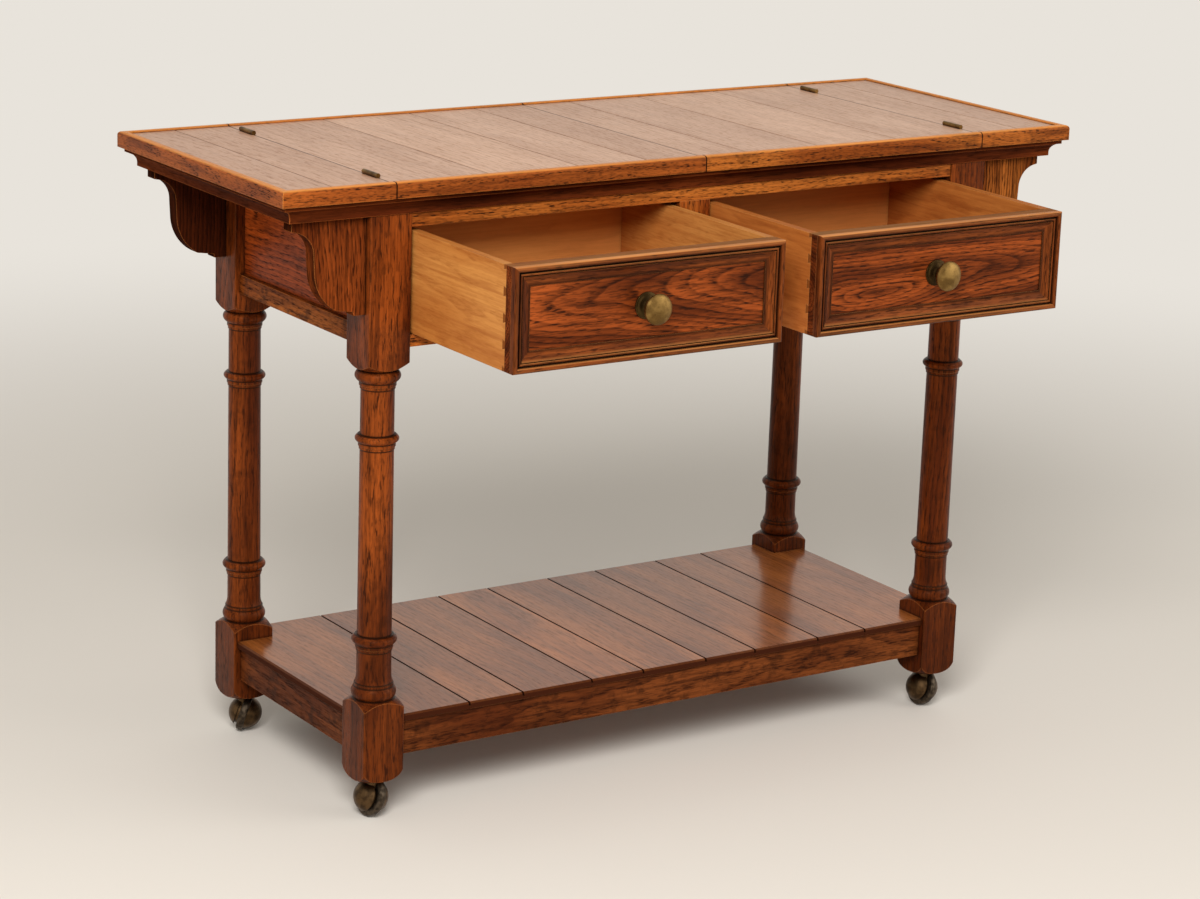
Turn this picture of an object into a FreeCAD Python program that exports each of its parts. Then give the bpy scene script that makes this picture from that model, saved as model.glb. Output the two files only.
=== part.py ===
"""Flip-top serving trolley in oak, built in millimetres.

Frame: +X runs along the length, +Y to the back, +Z up. The shapes are laid out about the
middle of the table at floor level. On export the whole trolley moves along Y, so that the
origin lies under the middle of the box that it fills with both drawers drawn out.
"""
import FreeCAD
import Part
import math
import os

V = FreeCAD.Vector

# Whole table
top_length = 1260.0
top_depth = 474.0
top_height = 862.0
cutter_overrun = 2.0

# Top boards: two fixed ends and two leaves that fold out over them
leaf_width = 470.0
seam_gap = 1.0
rim_height = 21.0
rim_width = 12.0
rim_round = 5.0
rim_bevel = 1.5
plank_drop = 2.5
groove_width = 2.6
groove_depth = 1.8
left_leaf_groove_shares = (0.174, 0.400, 0.691)
right_leaf_groove_shares = (0.166, 0.421, 0.709)
end_groove_shares = (0.505,)

# Brass butt hinges, let into the seams between the leaves and the fixed ends
hinge_length = 38.0
hinge_reach_share = 0.7173
hinge_lift = 0.25
barrel_radius = 3.2
barrel_relief = 0.6
pin_radius = 1.5
pin_clearance = 0.06
knuckle_gap = 0.3
knuckle_count = 3
plate_thickness = 1.6
plate_drop = 16.0

# Moulded frame under the boards, with the sub-top inside it
cornice_height = 24.0
cornice_inset = 7.0
cornice_width = 38.0
cornice_fillet = 6.0
cornice_foot = 5.0
cove_reach = 12.5
laminate_thickness = 1.5
laminate_margin = 10.0

# Turned legs. Each turned piece has a few flat sides and rings, because it repeats.
leg_sides = 20
bead_steps = 4
foot_steps = 3
post_size = 60.0
leg_inset_x = 135.0
leg_inset_y = 21.0
foot_height = 56.0
foot_radius = 24.0
foot_edge_height = 75.0
low_block_top = 157.0
low_pommel_top = 168.5
high_pommel_drop = 30.5
high_block_drop = 19.0
pommel_radius = 27.0
pommel_mid_shares = (0.70, 0.66)
foot_mid_shares = (0.66, 0.32)
corner_margin = 0.5
shaft_low_radius = 23.2
shaft_high_radius = 22.0
collar_step = 1.1
collar_high = 5.0
collar_low = 4.0
fillet_radius = 26.2
fillet_height = 4.5
cove_radius = 25.6
cove_height = 11.0
foot_ring_shares = (0.0191, 0.498, 0.0191)
low_ring_shares = (0.1820, 0.500, 0.0149)
high_ring_shares = (0.7932, 0.480, 0.0126)
neck_ring_shares = (0.9808, 0.500, 0.0190)

# Ogee brackets under the overhanging ends
bracket_thickness = 21.0
bracket_set_back = 11.0
bracket_reach = 106.0
bracket_drop = 128.0

# Drawer frame between the legs, hung from the top
top_rail_height = 18.0
low_rail_height = 16.0
front_rail_depth = 22.0
front_rail_set_back = 2.0
stile_width = 48.0
end_rail_rise = 10.0
end_rail_depth = 20.0
end_rail_set_back = 7.0
panel_thickness = 12.0
panel_set_back = 14.4
runner_width = 24.0
runner_gap = 0.3
guide_height = 14.0
guide_gap = 0.3
kicker_gap = 1.0

# Drawers, stored drawn out
drawer_open = 244.0
drawer_depth = 379.0
drawer_rise = 1.0
drawer_headroom = 6.0
drawer_height = 133.0
drawer_side_gap = 4.0
front_board = 18.0
moulding_width = 26.0
moulding_relief = 10.0
side_thickness = 12.0
back_thickness = 12.0
back_set_in = 6.0
back_drop = 6.0
bottom_thickness = 5.0
bottom_rise = 10.0
bottom_groove = 6.0
tail_length = 5.5
tail_height = 24.0
tail_flare = 1.8
tail_count = 4

# Mushroom knobs, a little left of the drawers' middles
knob_sides = 24
knob_projection = 34.0
knob_head_radius = 20.0
knob_shift = -3.5

# Shelf
shelf_top = 145.0
shelf_thickness = 11.0
shelf_inset_x = 140.0
shelf_inset_y = 27.0
shelf_nose = 2.2
shelf_rail_set_back = 5.0
shelf_rail_thickness = 20.0
shelf_rail_height = 46.0
shelf_gap = 3.0
shelf_lap = 6.0
shelf_lap_gap = 0.2
shelf_joint_shares = (0.107, 0.279, 0.504, 0.6755)

# Hooded ball casters
caster_sides = 20
ball_radius = 23.5
tyre_radius = 27.0
tyre_width = 10.0
tyre_edge = 1.8
hood_gap = 0.6
hood_recess = 4.2
hood_throat = 18.8
caster_tilt = 18.0
caster_lag = 1.5
caster_trail = -5.0
neck_radius = 8.0
neck_gap = 0.3
stem_radius = 5.5
stem_length = 38.0
stem_clearance = 0.06
stem_head_gap = 1.5
axle_radius = 3.0
axle_clearance = 0.06
axle_reach = 9.0
axle_end_gap = 0.8
caster_headings = {"front_left": 184.0, "front_right": 180.5, "back_left": 141.5, "back_right": 242.0}

# Places worked out from the sizes above
half_length = top_length / 2
half_depth = top_depth / 2
half_post = post_size / 2
board_low = top_height - rim_height
plank_top = top_height - plank_drop
frame_top = board_low - cornice_height
leg_x = half_length - leg_inset_x - half_post
leg_y = half_depth - leg_inset_y - half_post
post_out_x = leg_x + half_post
post_out_y = leg_y + half_post
post_in_x = leg_x - half_post
post_in_y = leg_y - half_post
hinge_z = top_height + hinge_lift
hinge_reach = round(half_depth * hinge_reach_share, 1)
sub_x = half_length - cornice_inset - cornice_width
sub_y = half_depth - cornice_inset - cornice_width
opening_high = frame_top - top_rail_height
front_rail_y = front_rail_set_back - post_out_y
front_rail_back = front_rail_y + front_rail_depth
back_rail_in = post_out_y - end_rail_set_back - end_rail_depth
back_panel_in = post_out_y - panel_set_back - panel_thickness
drawer_high = opening_high - drawer_headroom
drawer_low = drawer_high - drawer_height
low_rail_high = drawer_low - drawer_rise
low_rail_low = low_rail_high - low_rail_height
end_rail_high = low_rail_high + end_rail_rise
high_block_low = low_rail_low - high_block_drop
high_pommel_low = low_rail_low - high_pommel_drop
drawer_x = (post_in_x + stile_width / 2) / 2
drawer_half = (post_in_x - stile_width / 2) / 2 - drawer_side_gap
drawer_face = -post_out_y - drawer_open
board_face = drawer_face + moulding_relief
board_back = board_face + front_board
drawer_end = drawer_face + drawer_depth
shelf_low = shelf_top - shelf_thickness
shelf_x = half_length - shelf_inset_x
shelf_y = half_depth - shelf_inset_y
front_reach = board_face - knob_projection
shift_y = -(front_reach + half_depth) / 2
LEGS = {"front_left": (-1, -1), "front_right": (1, -1), "back_left": (-1, 1), "back_right": (1, 1)}


def slab(x0, x1, y0, y1, z0, z1):
    """Box between two corners, given as pairs of limits."""
    low = V(min(x0, x1), min(y0, y1), min(z0, z1))
    return Part.makeBox(abs(x1 - x0), abs(y1 - y0), abs(z1 - z0), low)


def outline(start, steps):
    """Closed face in the XZ plane: each step is an end point, or a middle and an end point."""
    edges = []
    here = V(start[0], 0, start[1])
    for step in steps + [(start,)]:
        there = V(step[-1][0], 0, step[-1][1])
        if len(step) == 2:
            middle = V(step[0][0], 0, step[0][1])
            edges.append(Part.Arc(here, middle, there).toShape())
        elif (there - here).Length > 0:
            edges.append(Part.LineSegment(here, there).toShape())
        here = there
    return Part.Face(Part.Wire(edges))


def scaled(points, width, height):
    """Turn the shares of an outline's steps into lengths."""
    return [tuple((u * width, w * height) for u, w in step) for step in points]


def mitred_bar(face, length, width, height):
    """Moulding along +X from an XZ section, (inward, up), cut at 45 degrees at both ends."""
    section = face.copy()
    section.rotate(V(0, 0, 0), V(0, 0, 1), 90)
    bar = section.extrude(V(length, 0, 0))
    corners = [V(0, 0, 0), V(length, 0, 0), V(length - width, width, 0), V(width, width, 0), V(0, 0, 0)]
    block = Part.Face(Part.makePolygon(corners)).extrude(V(0, 0, height))
    return bar.common(block)


def frame_bars(face, length_x, length_y, width, height):
    """Four mitred mouldings round a rectangle centred on Z: front, right, back and left."""
    bars = []
    for turn in range(4):
        run, across = (length_x, length_y) if turn % 2 == 0 else (length_y, length_x)
        bar = mitred_bar(face, run, width, height)
        bar.translate(V(-run / 2, -across / 2, 0))
        bar.rotate(V(0, 0, 0), V(0, 0, 1), 90 * turn)
        bars.append(bar)
    return bars


def faceted_turning(points, sides):
    """Solid of flat facets round Z, through rings given as (height, radius), low to high."""
    def ring(height, radius):
        """Corners of one ring."""
        turns = [2 * math.pi * k / sides for k in range(sides)]
        return [V(radius * math.cos(a), radius * math.sin(a), height) for a in turns]

    rings = [ring(height, radius) for height, radius in points]
    faces = [Part.Face(Part.makePolygon(rings[0][::-1] + [rings[0][-1]]))]
    for lower, upper in zip(rings, rings[1:]):
        for k in range(sides):
            n = (k + 1) % sides
            corners = [lower[k], lower[n], upper[n], upper[k], lower[k]]
            faces.append(Part.Face(Part.makePolygon(corners)))
    faces.append(Part.Face(Part.makePolygon(rings[-1] + [rings[-1][0]])))
    return Part.Solid(Part.Shell(faces))


def save(name, *shapes):
    """Write one piece, moved so that the origin lies under the middle of the trolley's box."""
    os.makedirs("parts", exist_ok=True)
    shape = shapes[0] if len(shapes) == 1 else Part.makeCompound(list(shapes))
    placed = shape.copy()
    placed.translate(V(0, shift_y, 0))
    placed.exportStep("parts/" + name + ".step")


def curve(start, middle, end, steps):
    """Rings along a parabola through three of them, without the first."""
    rings = []
    for k in range(1, steps + 1):
        t = k / steps
        weights = ((1 - t) * (1 - 2 * t), 4 * t * (1 - t), t * (2 * t - 1))
        corners = list(zip(weights, (start, middle, end)))
        rings.append(tuple(sum(weight * ring[axis] for weight, ring in corners) for axis in (0, 1)))
    return rings


def shaft_radius(height):
    """Radius of the column's shaft, which tapers slightly upwards."""
    share = (height - low_pommel_top) / (high_pommel_low - low_pommel_top)
    return shaft_low_radius + (shaft_high_radius - shaft_low_radius) * share


def bead(shares, collar):
    """Rings of one turned bead, with a stepped collar below it where it has one."""
    span = high_pommel_low - low_pommel_top
    middle = low_pommel_top + span * shares[0]
    radius = post_size * shares[1]
    rise = span * shares[2]
    low = middle - rise
    high = middle + rise
    if not collar:
        root = fillet_radius
        return [(low, root)] + curve((low, root), (middle, radius), (high, root), bead_steps)
    step = low - collar_high
    foot = step - collar_low
    shaft = shaft_radius(foot)
    root = shaft + 2 * collar_step
    rings = [(foot, shaft), (foot, shaft + collar_step), (step, shaft + collar_step), (step, root),
             (low, root)]
    return rings + curve((low, root), (middle, radius), (high, root), bead_steps)


def leg_rings():
    """Turned outline of a leg from its foot to its head, as (height, radius)."""
    corner = half_post * math.sqrt(2) + corner_margin

    def between(low, high, shares):
        """Ring at the given shares, of radius and of height, of the way between two others."""
        height = low[0] + (high[0] - low[0]) * shares[1]
        return height, low[1] + (high[1] - low[1]) * shares[0]

    foot = (foot_height, foot_radius)
    foot_edge = (foot_edge_height, corner)
    low_edge = (low_block_top, corner)
    low_end = (low_pommel_top, pommel_radius)
    high_end = (high_pommel_low, pommel_radius)
    high_edge = (high_block_low, corner)
    rings = [foot] + curve(foot, between(foot, foot_edge, foot_mid_shares), foot_edge, foot_steps)
    rings += [low_edge, between(low_end, low_edge, pommel_mid_shares), low_end]
    rings += bead(foot_ring_shares, False)
    cove_low = rings[-1][0] + fillet_height
    rings.append((cove_low, fillet_radius))
    cove_top = cove_low + cove_height
    cove_mid = ((cove_low + cove_top) / 2, (cove_radius + shaft_low_radius * 3) / 4)
    rings += [(cove_low, cove_radius), cove_mid, (cove_top, shaft_low_radius)]
    for shares in (low_ring_shares, high_ring_shares):
        rings += bead(shares, True)
        rings.append((rings[-1][0], shaft_radius(rings[-1][0])))
    rings += bead(neck_ring_shares, True)
    rings += [high_end, between(high_end, high_edge, pommel_mid_shares), high_edge, (frame_top, corner)]
    return rings


def leg(side_x, side_y):
    """Square post with a turned column: a square prism cut by one turned solid."""
    turned = faceted_turning(leg_rings(), leg_sides)
    turned.rotate(V(0, 0, 0), V(0, 0, 1), 180 / leg_sides)
    prism = slab(-half_post, half_post, -half_post, half_post, foot_height, frame_top)
    socket = Part.makeCylinder(stem_radius + stem_clearance, stem_length + cutter_overrun + stem_head_gap,
                               V(0, 0, foot_height - cutter_overrun))
    shape = prism.common(turned).removeSplitter().cut(socket)
    shape.translate(V(side_x * leg_x, side_y * leg_y, 0))
    return shape


def bracket(side_x, side_y):
    """Ogee bracket: square tip, hollow upper curve, full lower curve, and a step at its foot."""
    shares = [((0, 0),), ((1.0, 0),), ((1.0, -0.105),), ((0.94, -0.115),),
              ((0.765, -0.205), (0.703, -0.36)), ((0.69, -0.56),),
              ((0.585, -0.795), (0.40, -0.93)), ((0.175, -0.957),),
              ((0.155, -1.0),), ((0, -1.0),)]
    steps = scaled(shares, bracket_reach, bracket_drop)
    face = outline((0, 0), steps[1:])
    solid = face.extrude(V(0, bracket_thickness, 0))
    solid.translate(V(post_out_x, bracket_set_back - post_out_y, frame_top))
    if side_y > 0:
        solid = solid.mirror(V(0, 0, 0), V(0, 1, 0))
    if side_x < 0:
        solid = solid.mirror(V(0, 0, 0), V(1, 0, 0))
    return solid


def cornice():
    """Moulded frame below the boards: fillet, cove and foot, in four mitred lengths."""
    top = cornice_height
    cove_top = cornice_height - cornice_fillet
    cove_mid = (cove_reach / math.sqrt(2), cornice_foot + (cove_top - cornice_foot) / math.sqrt(2))
    steps = [((cornice_width, 0),), ((cornice_width, top),), ((0, top),), ((0, cove_top),),
             (cove_mid, (cove_reach, cornice_foot))]
    face = outline((cove_reach, 0), steps)
    length_x = top_length - 2 * cornice_inset
    length_y = top_depth - 2 * cornice_inset
    bars = frame_bars(face, length_x, length_y, cornice_width, cornice_height)
    for bar in bars:
        bar.translate(V(0, 0, frame_top))
    return bars


def sub_top():
    """Board inside the moulded frame, with a laminate serving surface let into it."""
    board = slab(-sub_x, sub_x, -sub_y, sub_y, frame_top, board_low)
    lam_x = leaf_width - laminate_margin
    lam_y = sub_y - laminate_margin
    laminate = slab(-lam_x, lam_x, -lam_y, lam_y, board_low - laminate_thickness, board_low)
    return board.cut(laminate), laminate


def rim_face():
    """Section of the edge rim, (inward, up), with its outer top edge rounded."""
    turn = rim_round * (1 - 1 / math.sqrt(2))
    steps = [((rim_width, 0),), ((rim_width, rim_height - rim_bevel),),
             ((rim_width - rim_bevel, rim_height),), ((rim_round, rim_height),),
             ((turn, rim_height - turn), (0, rim_height - rim_round))]
    return outline((0, 0), steps)


def grooved_board(x0, x1, places):
    """Planked board with a V groove along Y at each place."""
    y = half_depth - rim_width
    board = slab(x0, x1, -y, y, board_low, plank_top)
    for place in places:
        low = plank_top - groove_depth
        half = groove_width / 2
        corners = [(place - half, plank_top), (place, low), (place + half, plank_top)]
        points = [V(a, -y - cutter_overrun, b) for a, b in corners]
        wedge = Part.Face(Part.makePolygon(points + [points[0]]))
        board = board.cut(wedge.extrude(V(0, 2 * (y + cutter_overrun), 0)))
    return board


def hinge_reliefs(side):
    """Cutters for the barrels and plates of the two hinges on one seam."""
    cutters = []
    for centre in (-hinge_reach, hinge_reach):
        start = centre - hinge_length / 2
        barrel = Part.makeCylinder(barrel_radius + barrel_relief, hinge_length + 2 * knuckle_gap,
                                   V(side * leaf_width, start - knuckle_gap, hinge_z), V(0, 1, 0))
        reach = seam_gap / 2 + plate_thickness
        plates = slab(side * leaf_width - reach, side * leaf_width + reach,
                      start, start + hinge_length, hinge_z - plate_drop, hinge_z)
        cutters.append(barrel.fuse(plates))
    return cutters


def top_boards(side, shares, ends):
    """Boards and rims of one fixed end and one leaf, with the seam between them."""
    seam = side * leaf_width
    half_gap = side * seam_gap / 2
    end_x = side * (half_length - rim_width)
    fixed_width = half_length - leaf_width
    fixed = grooved_board(seam + half_gap, end_x, [seam + side * fixed_width * s for s in ends])
    leaf = grooved_board(half_gap, seam - half_gap, [seam * s for s in shares])
    for cutter in hinge_reliefs(side):
        fixed = fixed.cut(cutter)
        leaf = leaf.cut(cutter)
    bars = frame_bars(rim_face(), top_length, top_depth, rim_width, rim_height)
    for bar in bars:
        bar.translate(V(0, 0, board_low))
    reach = half_depth + cutter_overrun
    outer = slab(seam + half_gap, side * (half_length + cutter_overrun), -reach, reach, board_low, top_height)
    inner = slab(half_gap, seam - half_gap, -reach, reach, board_low, top_height)
    end_bar = bars[1] if side > 0 else bars[3]
    fixed_rims = [bars[0].common(outer), end_bar, bars[2].common(outer)]
    leaf_rims = [bars[0].common(inner), bars[2].common(inner)]
    return fixed, fixed_rims, leaf, leaf_rims


def hinge_half(side, centre, moving):
    """Plate with its knuckles; the fixed half also holds the pin."""
    step = hinge_length / knuckle_count
    start = centre - hinge_length / 2
    seam = side * leaf_width
    outward = -side if moving else side
    inner = seam + outward * seam_gap / 2
    outer = inner + outward * plate_thickness
    low = hinge_z - plate_drop
    plate = slab(inner, outer, start, start + hinge_length, low, hinge_z)
    axis_low = V(seam, start - knuckle_gap, hinge_z)
    clear = Part.makeCylinder(barrel_radius + barrel_relief, hinge_length + 2 * knuckle_gap, axis_low,
                              V(0, 1, 0))
    shape = plate.cut(clear)
    for k in range(knuckle_count):
        if (k % 2 == 1) != moving:
            continue
        y0 = start + k * step + knuckle_gap / 2
        y1 = start + (k + 1) * step - knuckle_gap / 2
        web_low = hinge_z - barrel_radius - 2 * barrel_relief
        web = slab(inner, outer, y0, y1, web_low, hinge_z)
        ring = Part.makeCylinder(barrel_radius, y1 - y0, V(seam, y0, hinge_z), V(0, 1, 0))
        shape = shape.fuse(web).fuse(ring)
    length = hinge_length - knuckle_gap
    place = V(seam, start + knuckle_gap / 2, hinge_z)
    if moving:
        bore = Part.makeCylinder(pin_radius + pin_clearance, length, place, V(0, 1, 0))
        return shape.cut(bore)
    return shape.fuse(Part.makeCylinder(pin_radius, length, place, V(0, 1, 0))).removeSplitter()


def drawer_frame():
    """Rails, stile, panels, runners and kickers, as a table from node to solids."""
    parts = {}
    rail = (-post_in_x, post_in_x, front_rail_y, front_rail_back)
    half_stile = stile_width / 2
    parts["rail_front_top"] = [slab(*rail, opening_high, frame_top)]
    parts["rail_front_bottom"] = [slab(*rail, low_rail_low, low_rail_high)]
    parts["stile_front"] = [slab(-half_stile, half_stile, front_rail_y, front_rail_back,
                                 low_rail_high, opening_high)]
    parts["rail_back"] = [slab(-post_in_x, post_in_x, back_rail_in, back_rail_in + end_rail_depth,
                               low_rail_low, end_rail_high)]
    parts["panel_back"] = [slab(-post_in_x, post_in_x, back_panel_in, back_panel_in + panel_thickness,
                                end_rail_high, frame_top)]
    for name, side in (("left", -1), ("right", 1)):
        rail_x = post_out_x - end_rail_set_back
        panel_x = post_out_x - panel_set_back
        parts["rail_" + name] = [slab(side * rail_x, side * (rail_x - end_rail_depth), -post_in_y,
                                      post_in_y, low_rail_low, end_rail_high)]
        parts["panel_" + name] = [slab(side * panel_x, side * (panel_x - panel_thickness), -post_in_y,
                                       post_in_y, end_rail_high, frame_top)]
    runner_top = drawer_low - runner_gap
    guide_top = runner_top + guide_height
    outer_guide = drawer_x + drawer_half + guide_gap
    inner_guide = drawer_x - drawer_half - guide_gap
    middle = half_stile + runner_width - drawer_side_gap
    runners = []
    kickers = []
    kicker_low = drawer_high + kicker_gap
    for side in (-1, 1):
        base = slab(side * post_in_x, side * (post_in_x - runner_width), front_rail_back, back_rail_in,
                    low_rail_low, runner_top)
        guide = slab(side * post_in_x, side * outer_guide, -post_in_y, post_in_y, runner_top, guide_top)
        runners.append(base.fuse(guide))
        kickers.append(slab(side * post_in_x, side * (post_in_x - runner_width), front_rail_back,
                            back_panel_in, kicker_low, frame_top))
    base = slab(-middle, middle, front_rail_back, back_rail_in, low_rail_low, runner_top)
    guide = slab(-inner_guide, inner_guide, front_rail_back, back_rail_in, runner_top, guide_top)
    runners.insert(1, base.fuse(guide))
    kickers.insert(1, slab(-middle, middle, front_rail_back, back_panel_in, kicker_low, frame_top))
    parts["drawer_runners"] = runners
    parts["drawer_kickers"] = kickers
    return parts


def dovetail_side(side):
    """Drawer side along Y at the given end of the front, with tails at its front end."""
    outer = side * drawer_half
    inner = outer - side * side_thickness
    body = slab(outer, inner, board_back, drawer_end, drawer_low, drawer_high)
    pitch = drawer_height / tail_count
    for k in range(tail_count):
        middle = drawer_low + pitch * (k + 1 / 2)
        root = tail_height / 2 - tail_flare
        tip = tail_height / 2
        corners = [(board_back, middle - root), (board_back - tail_length, middle - tip),
                   (board_back - tail_length, middle + tip), (board_back, middle + root)]
        points = [V(min(outer, inner), a, b) for a, b in corners]
        tail = Part.Face(Part.makePolygon(points + [points[0]])).extrude(V(side_thickness, 0, 0))
        body = body.fuse(tail)
    return body.removeSplitter()


def drawer_moulding():
    """Raised frame on a drawer front: cove, small bead, groove and outer bead, mitred."""
    shares = [((1.0, 0),), ((1.0, 0.16),), ((0.94, 0.16),), ((0.68, 0.27), (0.50, 0.60)),
              ((0.49, 0.42),), ((0.45, 0.42),), ((0.45, 0.60),), ((0.40, 0.72), (0.35, 0.60)),
              ((0.34, 0.34),), ((0.27, 0.34),), ((0.25, 0.66),), ((0.13, 1.0), (0, 0.62))]
    steps = scaled(shares, moulding_width, moulding_relief)
    face = outline((0, 0), steps)
    bars = frame_bars(face, 2 * drawer_half, drawer_height, moulding_width, moulding_relief)
    for bar in bars:
        bar.rotate(V(0, 0, 0), V(1, 0, 0), 90)
        bar.translate(V(0, board_face, (drawer_low + drawer_high) / 2))
    return bars


def knob():
    """Mushroom knob on a rosette, turned about the drawer front's normal."""
    shares = ((0, 0.86), (0.05, 0.86), (0.11, 0.70), (0.16, 0.44), (0.24, 0.34), (0.42, 0.33),
              (0.55, 0.48), (0.64, 0.84), (0.72, 0.985), (0.79, 1.0), (0.87, 0.90), (0.94, 0.69),
              (0.985, 0.38), (1.0, 0.10))
    rings = [(h * knob_projection, r * knob_head_radius) for h, r in shares]
    solid = faceted_turning(rings, knob_sides)
    solid.rotate(V(0, 0, 0), V(1, 0, 0), 90)
    solid.translate(V(knob_shift, board_face, (drawer_low + drawer_high) / 2))
    return solid


def drawer():
    """One drawer about X = 0, as a table from node to solids."""
    bottom_low = drawer_low + bottom_rise
    bottom_high = bottom_low + bottom_thickness
    panel_x = drawer_half - side_thickness + bottom_groove
    bottom = slab(-panel_x, panel_x, board_back - bottom_groove, drawer_end - back_set_in,
                  bottom_low, bottom_high)
    sides = [dovetail_side(-1), dovetail_side(1)]
    front = slab(-drawer_half, drawer_half, board_face, board_back, drawer_low, drawer_high)
    for piece in sides + [bottom]:
        front = front.cut(piece)
    inside = drawer_half - side_thickness
    back_y = drawer_end - back_set_in
    back = slab(-inside, inside, back_y - back_thickness, back_y, bottom_high, drawer_high - back_drop)
    return {"front": [front], "moulding": drawer_moulding(),
            "box": [piece.cut(bottom) for piece in sides] + [back],
            "bottom": [bottom], "knob": [knob()]}


def shelf():
    """Shiplapped shelf boards, notched round the legs, with eased edges."""
    half = shelf_thickness / 2
    joints = [-shelf_x * s for s in reversed(shelf_joint_shares)] + [shelf_x * s for s in shelf_joint_shares]
    edges = [-shelf_x] + joints + [shelf_x]

    def nosed(reach):
        """Upright section of the shelf from edge to edge, its long edges eased."""
        low, high = shelf_low, shelf_top
        out = reach - shelf_nose
        steps = [((out, low),), ((reach, low + shelf_nose),), ((reach, high - shelf_nose),), ((out, high),),
                 ((-out, high),), ((-reach, high - shelf_nose),), ((-reach, low + shelf_nose),)]
        return outline((-out, low), steps)

    across = nosed(shelf_x).extrude(V(0, 2 * shelf_y, 0))
    across.translate(V(0, -shelf_y, 0))
    along = nosed(shelf_y)
    along.rotate(V(0, 0, 0), V(0, 0, 1), 90)
    along = along.extrude(V(2 * shelf_x, 0, 0))
    along.translate(V(-shelf_x, 0, 0))
    boards = []
    for k, (a, b) in enumerate(zip(edges, edges[1:])):
        left = a if k == 0 else a + shelf_gap / 2
        right = b if k == len(edges) - 2 else b - shelf_gap / 2
        lap_left = left if k == 0 else left + shelf_lap + shelf_lap_gap - shelf_gap
        lap_right = right if k == len(edges) - 2 else right + shelf_lap
        upper = slab(left, right, -shelf_y, shelf_y, shelf_low + half, shelf_top)
        lower = slab(lap_left, lap_right, -shelf_y, shelf_y, shelf_low, shelf_low + half)
        board = upper.fuse(lower).removeSplitter().common(along)
        if k in (0, len(edges) - 2):
            board = board.common(across)
            for side_x, side_y in LEGS.values():
                board = board.cut(slab(side_x * post_in_x, side_x * post_out_x, side_y * post_in_y,
                                       side_y * post_out_y, shelf_low, shelf_top))
        boards.append(board)
    return boards


def shelf_rails():
    """Apron rails under the shelf, between the legs."""
    low = shelf_low - shelf_rail_height
    y = shelf_y - shelf_rail_set_back
    x = shelf_x - shelf_rail_set_back
    parts = {}
    for name, side in (("front", -1), ("back", 1)):
        parts["shelf_rail_" + name] = slab(-post_in_x, post_in_x, side * y,
                                           side * (y - shelf_rail_thickness), low, shelf_low)
    for name, side in (("left", -1), ("right", 1)):
        parts["shelf_rail_" + name] = slab(side * x, side * (x - shelf_rail_thickness), -post_in_y,
                                           post_in_y, low, shelf_low)
    return parts


def caster_frame(name):
    """Ball centre and turn of one caster, from its leg and heading."""
    side_x, side_y = LEGS[name]
    heading = math.radians(caster_headings[name])
    tilt = math.radians(caster_tilt)
    ahead = V(math.cos(heading), math.sin(heading), 0)
    sideways = V(-ahead.y, ahead.x, 0)
    height = tyre_radius * math.cos(tilt) + (tyre_width / 2 - tyre_edge) * math.sin(tilt)
    centre = V(side_x * leg_x, side_y * leg_y, height)
    centre = centre - ahead * caster_lag + sideways * caster_trail
    return centre, ahead * math.cos(tilt) + V(0, 0, math.sin(tilt))


def along_axle(solid, centre, axle, heading):
    """Turn a solid from Z on to the axle's line, a corner of its rings lowest."""
    solid.rotate(V(0, 0, 0), V(0, 1, 0), 90 - caster_tilt)
    solid.rotate(V(0, 0, 0), V(0, 0, 1), heading)
    solid.translate(centre)
    return solid


def caster_swivel(name):
    """Hood, neck, stem and axle pin: the part that turns in the leg's socket."""
    centre, axle = caster_frame(name)
    heading = caster_headings[name]
    start = tyre_width / 2 + hood_gap
    low = math.degrees(math.acos((start + hood_recess) / ball_radius))
    turns = [math.radians(low * share) for share in (1.0, 0.80, 0.60, 0.40, 0.15)]
    rings = [(start, hood_throat), (start + hood_recess, hood_throat)]
    rings += [(ball_radius * math.cos(a), ball_radius * math.sin(a)) for a in turns]
    hood = along_axle(faceted_turning(rings, caster_sides), centre, axle, heading)
    pin = Part.makeCylinder(axle_radius, start + axle_reach, V(0, 0, -axle_reach))
    pin = along_axle(pin, centre, axle, heading)
    side_x, side_y = LEGS[name]
    x, y = side_x * leg_x, side_y * leg_y
    neck_top = foot_height - neck_gap
    neck = Part.makeCylinder(neck_radius, neck_top - centre.z, V(x, y, centre.z))
    reach = start + ball_radius
    wheel_side = Part.makeCylinder(2 * tyre_radius, reach, V(0, 0, start - reach))
    neck = neck.cut(along_axle(wheel_side, centre, axle, heading))
    stem = Part.makeCylinder(stem_radius, stem_length + neck_gap, V(x, y, neck_top))
    return hood.fuse(neck).fuse(stem).fuse(pin)


def caster_wheel(name):
    """Tyre and domed cap in one, with a blind bore for the axle pin."""
    centre, axle = caster_frame(name)
    half = tyre_width / 2
    low = math.degrees(math.acos(half / ball_radius))
    turns = [math.radians(180 - low * share) for share in (0.12, 0.28, 0.46, 0.64, 0.82, 1.0)]
    rings = [(ball_radius * math.cos(a), ball_radius * math.sin(a)) for a in turns]
    rings += [(-half, tyre_radius - tyre_edge), (tyre_edge - half, tyre_radius),
              (half - tyre_edge, tyre_radius), (half, tyre_radius - tyre_edge)]
    body = faceted_turning(rings, caster_sides)
    depth = half + axle_reach + axle_end_gap
    bore = Part.makeCylinder(axle_radius + axle_clearance, depth + cutter_overrun, V(0, 0, half - depth))
    return along_axle(body.cut(bore), centre, axle, caster_headings[name])


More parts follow.
